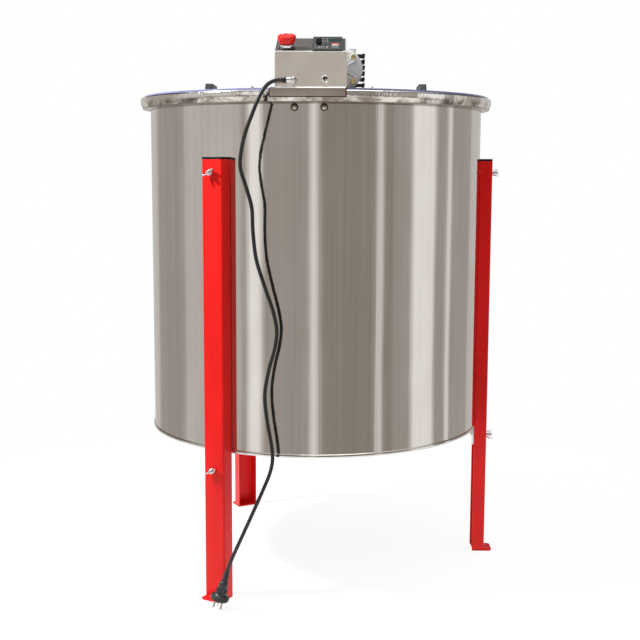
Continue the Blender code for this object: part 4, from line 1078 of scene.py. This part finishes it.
def make_emergency_stop():
    face = PANEL_FACE
    base = [(0.0115, 0.0110), (0.0128, 0.0102), (0.0130, 0.0092), (0.0130, 0.0062), (0.0126, 0.0050)]
    base += [(0.0126, face), (0.0110, face), (0.0110, -0.024), (0.0063, -0.024), (0.0063, 0.0110)]
    where = panel_frame(*ESTOP_UV)
    piece("stop_collar", lathe(base, ROUND, 0.0004, True), "frame", CHROME, where, ["estop_base"])
    gasket = [(0.0127, 0.0049), (0.0146, 0.0046), (0.0150, 0.0040), (0.0150, face), (0.0127, face)]
    piece("stop_gasket", lathe(gasket, ROUND, 0.0003, True), "frame", RUBBER, where)
    cap = [(0, 0.0280), (0.0060, 0.0279), (0.0110, 0.0274), (0.0146, 0.0264), (0.0166, 0.0250)]
    cap += [(0.0172, 0.0232), (0.0170, 0.0212), (0.0160, 0.0180), (0.0148, 0.0146)]
    cap += [(0.0145, 0.0125), (0.0136, 0.0125)]
    cap += [(0.0136, 0.0190), (0.0060, 0.0190), (0.0060, -0.0120), (0, -0.0120)]
    mushroom = lathe(cap, ROUND, 0.0005)
    piece("stop_mushroom", mushroom, "emergency_stop", STOP, where, ["estop_button"])
    rings = []
    for start in (15, 135, 255):
        points = [(x, y, 0.02775) for x, y in arc(0.0072, start, start + 85, 14)]
        rings.append(tube(points, 0.0003, 2))
    piece("stop_arrows", merged(*rings), "emergency_stop", WHITE_MARK, where)


def make_speed_knob():
    top = PANEL_FACE + 0.0035
    outline = []
    ridges = 18
    for i in range(ridges):
        for step, radius in ((0.0, 0.0058), (0.45, 0.0058), (0.55, 0.0053), (0.95, 0.0053)):
            angle = 2 * math.pi * (i + step) / ridges
            outline.append((radius * math.cos(angle), radius * math.sin(angle)))
    grip = moved(plate([outline], 0.0100, 0.0003, 1), at(0, 0, top + GAP + 0.0050))
    cap = [(0, 0.0130), (0.0044, 0.0130), (0.0050, 0.0122), (0.0050, 0.009), (0, 0.009)]
    cap = lathe([(r, top + z) for r, z in cap], ROUND, 0.0003)
    stem = lathe([(0, top), (0.0030, top), (0.0030, -0.010), (0, -0.010)], SMALL)
    where = panel_frame(*KNOB_UV)
    piece("knob_grip", merged(grip, cap, stem), "knob", BLACK, where, ["speed_knob"])
    line = block((-0.0004, 0.0005, top + 0.0128), (0.0004, 0.0044, top + 0.01315), 0.0001, 1)
    piece("knob_pointer", line, "knob", WHITE_MARK, where)
    ticks = []
    for i in range(11):
        long = 0.0022 if i % 5 == 0 else 0.0014
        tick = block((0.0074, -0.0003, top), (0.0074 + long, 0.0003, top + 0.0002))
        ticks.append(moved(tick, spin(-45 + 27 * i)))
    piece("dial_ticks", merged(*ticks), "frame", WHITE_MARK, where)
    dashes = []
    for row, v in enumerate((0.010, 0.016, 0.022, 0.058, 0.066, 0.086)):
        for col in range(5):
            u = 0.0075 + 0.0050 * col
            length = 0.0016 + 0.0011 * ((3 * row + 2 * col) % 3)
            dashes.append(block((u, v, top), (u + length, v + 0.0024, top + 0.0002)))
    piece("dial_marks", merged(*dashes), "frame", PALE_MARK, panel_frame())


def make_box_fittings():
    look = facing_front(0.024, BOX_FRONT_Y, 1.0052)
    bush = [(0.0050, 0.0045), (0.0060, 0.0030), (0.0060, GAP), (0.0030, GAP), (0.0030, -0.010)]
    bush += [(0.0018, -0.010), (0.0018, -0.002), (0.0046, 0.0045)]
    piece("toggle_collar", lathe(bush, SMALL, 0.0003, True), "frame", NICKEL, look, ["toggle_bush"])
    lever = [(0, 0.0175), (0.0014, 0.0173), (0.0022, 0.0160), (0.0021, 0.0145), (0.0013, 0.0040)]
    lever += [(0.0012, -0.0008), (0, -0.0008)]
    bat = lathe(lever, SMALL, 0.0004)
    piece("toggle_bat", bat, "toggle", CHROME, look @ spin(30) @ spin(30, "X"), ["toggle_lever"])

    x, z = -0.0345, 1.0014
    look = facing_front(x, BOX_FRONT_Y, z)
    side = frame_at((x, CORD_ROUTE[0][1], z), (0, 0, 1), (0, 1, 0))
    nose = [(0, 0.0180), (0.0040, 0.0178), (0.0054, 0.0168), (0.0058, 0.0152)]
    nose += [(0.0058, 0.0052), (0.0054, 0.0050), (0.0054, -0.008), (0, -0.008)]
    hexagon = circle(0.0084, 6)
    nut = moved(plate([soft(hexagon, 0.0010)], 0.0046, 0.0005), at(0, 0, 0.0026))
    collar = lathe([(0, 0.0110), (0.0050, 0.0110), (0.0053, 0.0100), (0.0053, 0), (0, 0)], ROUND, 0.0004)
    relief = [(0, 0.0212), (0.0041, 0.0212)]
    for i in range(4):
        end = 0.0208 - 0.0026 * i
        swell = 0.00022 * i
        relief += [(0.0043 + swell, end), (0.0043 + swell, end - 0.0014)]
        relief += [(0.0038 + swell, end - 0.0018), (0.0038 + swell, end - 0.0022)]
    relief += [(0.0050, 0.0100), (0.0050, 0.0080), (0, 0.0080)]
    inverse = look.inverted() @ side
    metal = merged(lathe(nose, ROUND, 0.0004), nut, moved(collar, inverse))
    piece("gland_elbow", metal, "frame", NICKEL, look, ["cable_gland"])
    piece("gland_relief", lathe(relief, SMALL, 0.0003), "frame", RUBBER, side)


# -------- drive


def make_drive():
    keep("motor_body", ANODISED, 0.0005)
    keep("gearbox_housing", CAST, 0.0020)
    keep("worm_shaft", ZINC)
    keep("output_gear", BRONZE)
    depth = 0.018
    cover = [(0, depth), (0.0115, depth), (0.0135, depth - 0.0012), (0.0150, depth - 0.0034)]
    cover += [(0.0330, depth - 0.0040), (0.0375, depth - 0.0055), (0.0398, depth - 0.0080)]
    cover += [(0.0410, depth - 0.0110), (0.0410, 0), (0, 0)]
    parts = [lathe(cover, 96, 0.0008)]
    for i in range(6):
        rib = block((0.0130, -0.0011, depth - 0.0060), (0.0345, 0.0011, depth - 0.0022), 0.0006)
        parts.append(moved(rib, spin(30 + 60 * i)))
    for angle in SCREW_ANGLES:
        boss = [(0, -0.0015), (0.0052, -0.0015), (0.0060, -0.0080), (0, -0.0080)]
        boss = lathe([(r, depth + z) for r, z in boss], SMALL, 0.0006)
        parts.append(moved(boss, spin(angle) @ at(SCREW_CIRCLE, 0, 0)))
    look = facing_front(WORM_X, -0.232, WORM_Z)
    piece("motor_cover", merged(*parts), "frame", CAST, look, ["motor_end_cover"])
    for i, angle in enumerate(SCREW_ANGLES):
        hexagon = plate([soft(circle(0.0037, 6), 0.0004)], 0.0026, 0.0003)
        washer = [(0, -0.0012), (0.0048, -0.0012), (0.0048, -0.0018), (0, -0.0018)]
        washer = lathe([(r, depth + z) for r, z in washer], SMALL, 0.0002)
        screw = merged(moved(hexagon, at(0, 0, depth - 0.0006)), washer)
        place = look @ spin(angle) @ at(SCREW_CIRCLE, 0, 0) @ spin(20)
        piece(f"cover_screw_{i + 1}", screw, "frame", YELLOW_ZINC, place)


# -------- basket


def make_basket():
    shaft = [(0, 0.9257), (0.0100, 0.9257), (0.0100, 0.9048), (0.0120, 0.9044), (0.0120, 0.378)]
    shaft += [(0.0100, 0.376), (0.0100, 0.3590), (0.0040, 0.3572), (0, 0.3570)]
    piece("shaft_bar", lathe(shaft, ROUND, 0.0006), "basket", POLISHED, nodes=["basket_shaft"])
    sleeve = [(0.018, 0.948), (0.018, 0.905), (0.0103, 0.905), (0.0103, 0.948)]
    sleeve = lathe(sleeve, ROUND, 0.0010, True)
    piece("coupling_sleeve", sleeve, "basket", POLISHED, nodes=["shaft_coupling"])
    keep("basket_cage", POLISHED, 0.0006)


# -------- lids


def slice_outline(inner_x, outer_x, count):
    """Slice of the lid's disc between two lines of constant x."""
    end = math.degrees(math.acos(inner_x / LID_R))
    if outer_x >= LID_R:
        return arc(LID_R, -end, end, count)
    start = math.degrees(math.acos(outer_x / LID_R))
    return arc(LID_R, -end, -start, count) + arc(LID_R, start, end, count)


def two_finishes(mesh, flat, edge):
    """Give the faces that look up or down one finish and the rest another."""
    mesh.materials.append(flat)
    mesh.materials.append(edge)
    for face in mesh.polygons:
        face.material_index = 0 if abs(face.normal.z) > 0.9 else 1
    mesh.shade_smooth()
    mesh.set_sharp_from_angle(angle=math.radians(40))
    return mesh


def make_lids():
    middle = LID_BOTTOM + LID_THICK / 2
    for side, word in ((-1, "left"), (1, "right")):
        inner = LID_STRIP_IN[word]
        place = (spin(180) if side < 0 else Matrix.Identity(4)) @ at(0, 0, middle)
        strip = plate([slice_outline(inner, LID_STRIP_OUT, 8)], LID_THICK, 0.0003)
        strip = two_finishes(strip, CLEAR, CLEAR_EDGE)
        piece(f"strip_sheet_{word}", strip, "frame", CLEAR, place, [f"lid_strip_{word}"])
        lid = plate([slice_outline(LID_IN, LID_R, 96)], LID_THICK, 0.0003)
        lid = two_finishes(lid, CLEAR, CLEAR_EDGE)
        body = f"lid_{word}"
        piece(f"lid_sheet_{word}", lid, body, CLEAR, place, [f"lid_{word}"])
        keep(f"hinge_fixed_{word}", POLISHED)
        keep(f"hinge_moving_{word}", POLISHED)
        keep(f"lid_handle_{word}", BLACK, 0.0030, 25, 5)


# -------- honey gate


def make_gate():
    keep("gate_body", POLISHED, 0.0004)
    keep("gate_blade", POLISHED, 0.0005)
    keep("gate_screw", ZINC, 0.0004)


studio()
make_cord()
make_tank()
make_legs()
make_bridge()
make_control_box()
make_emergency_stop()
make_speed_knob()
make_box_fittings()
make_drive()
make_basket()
make_lids()
make_gate()
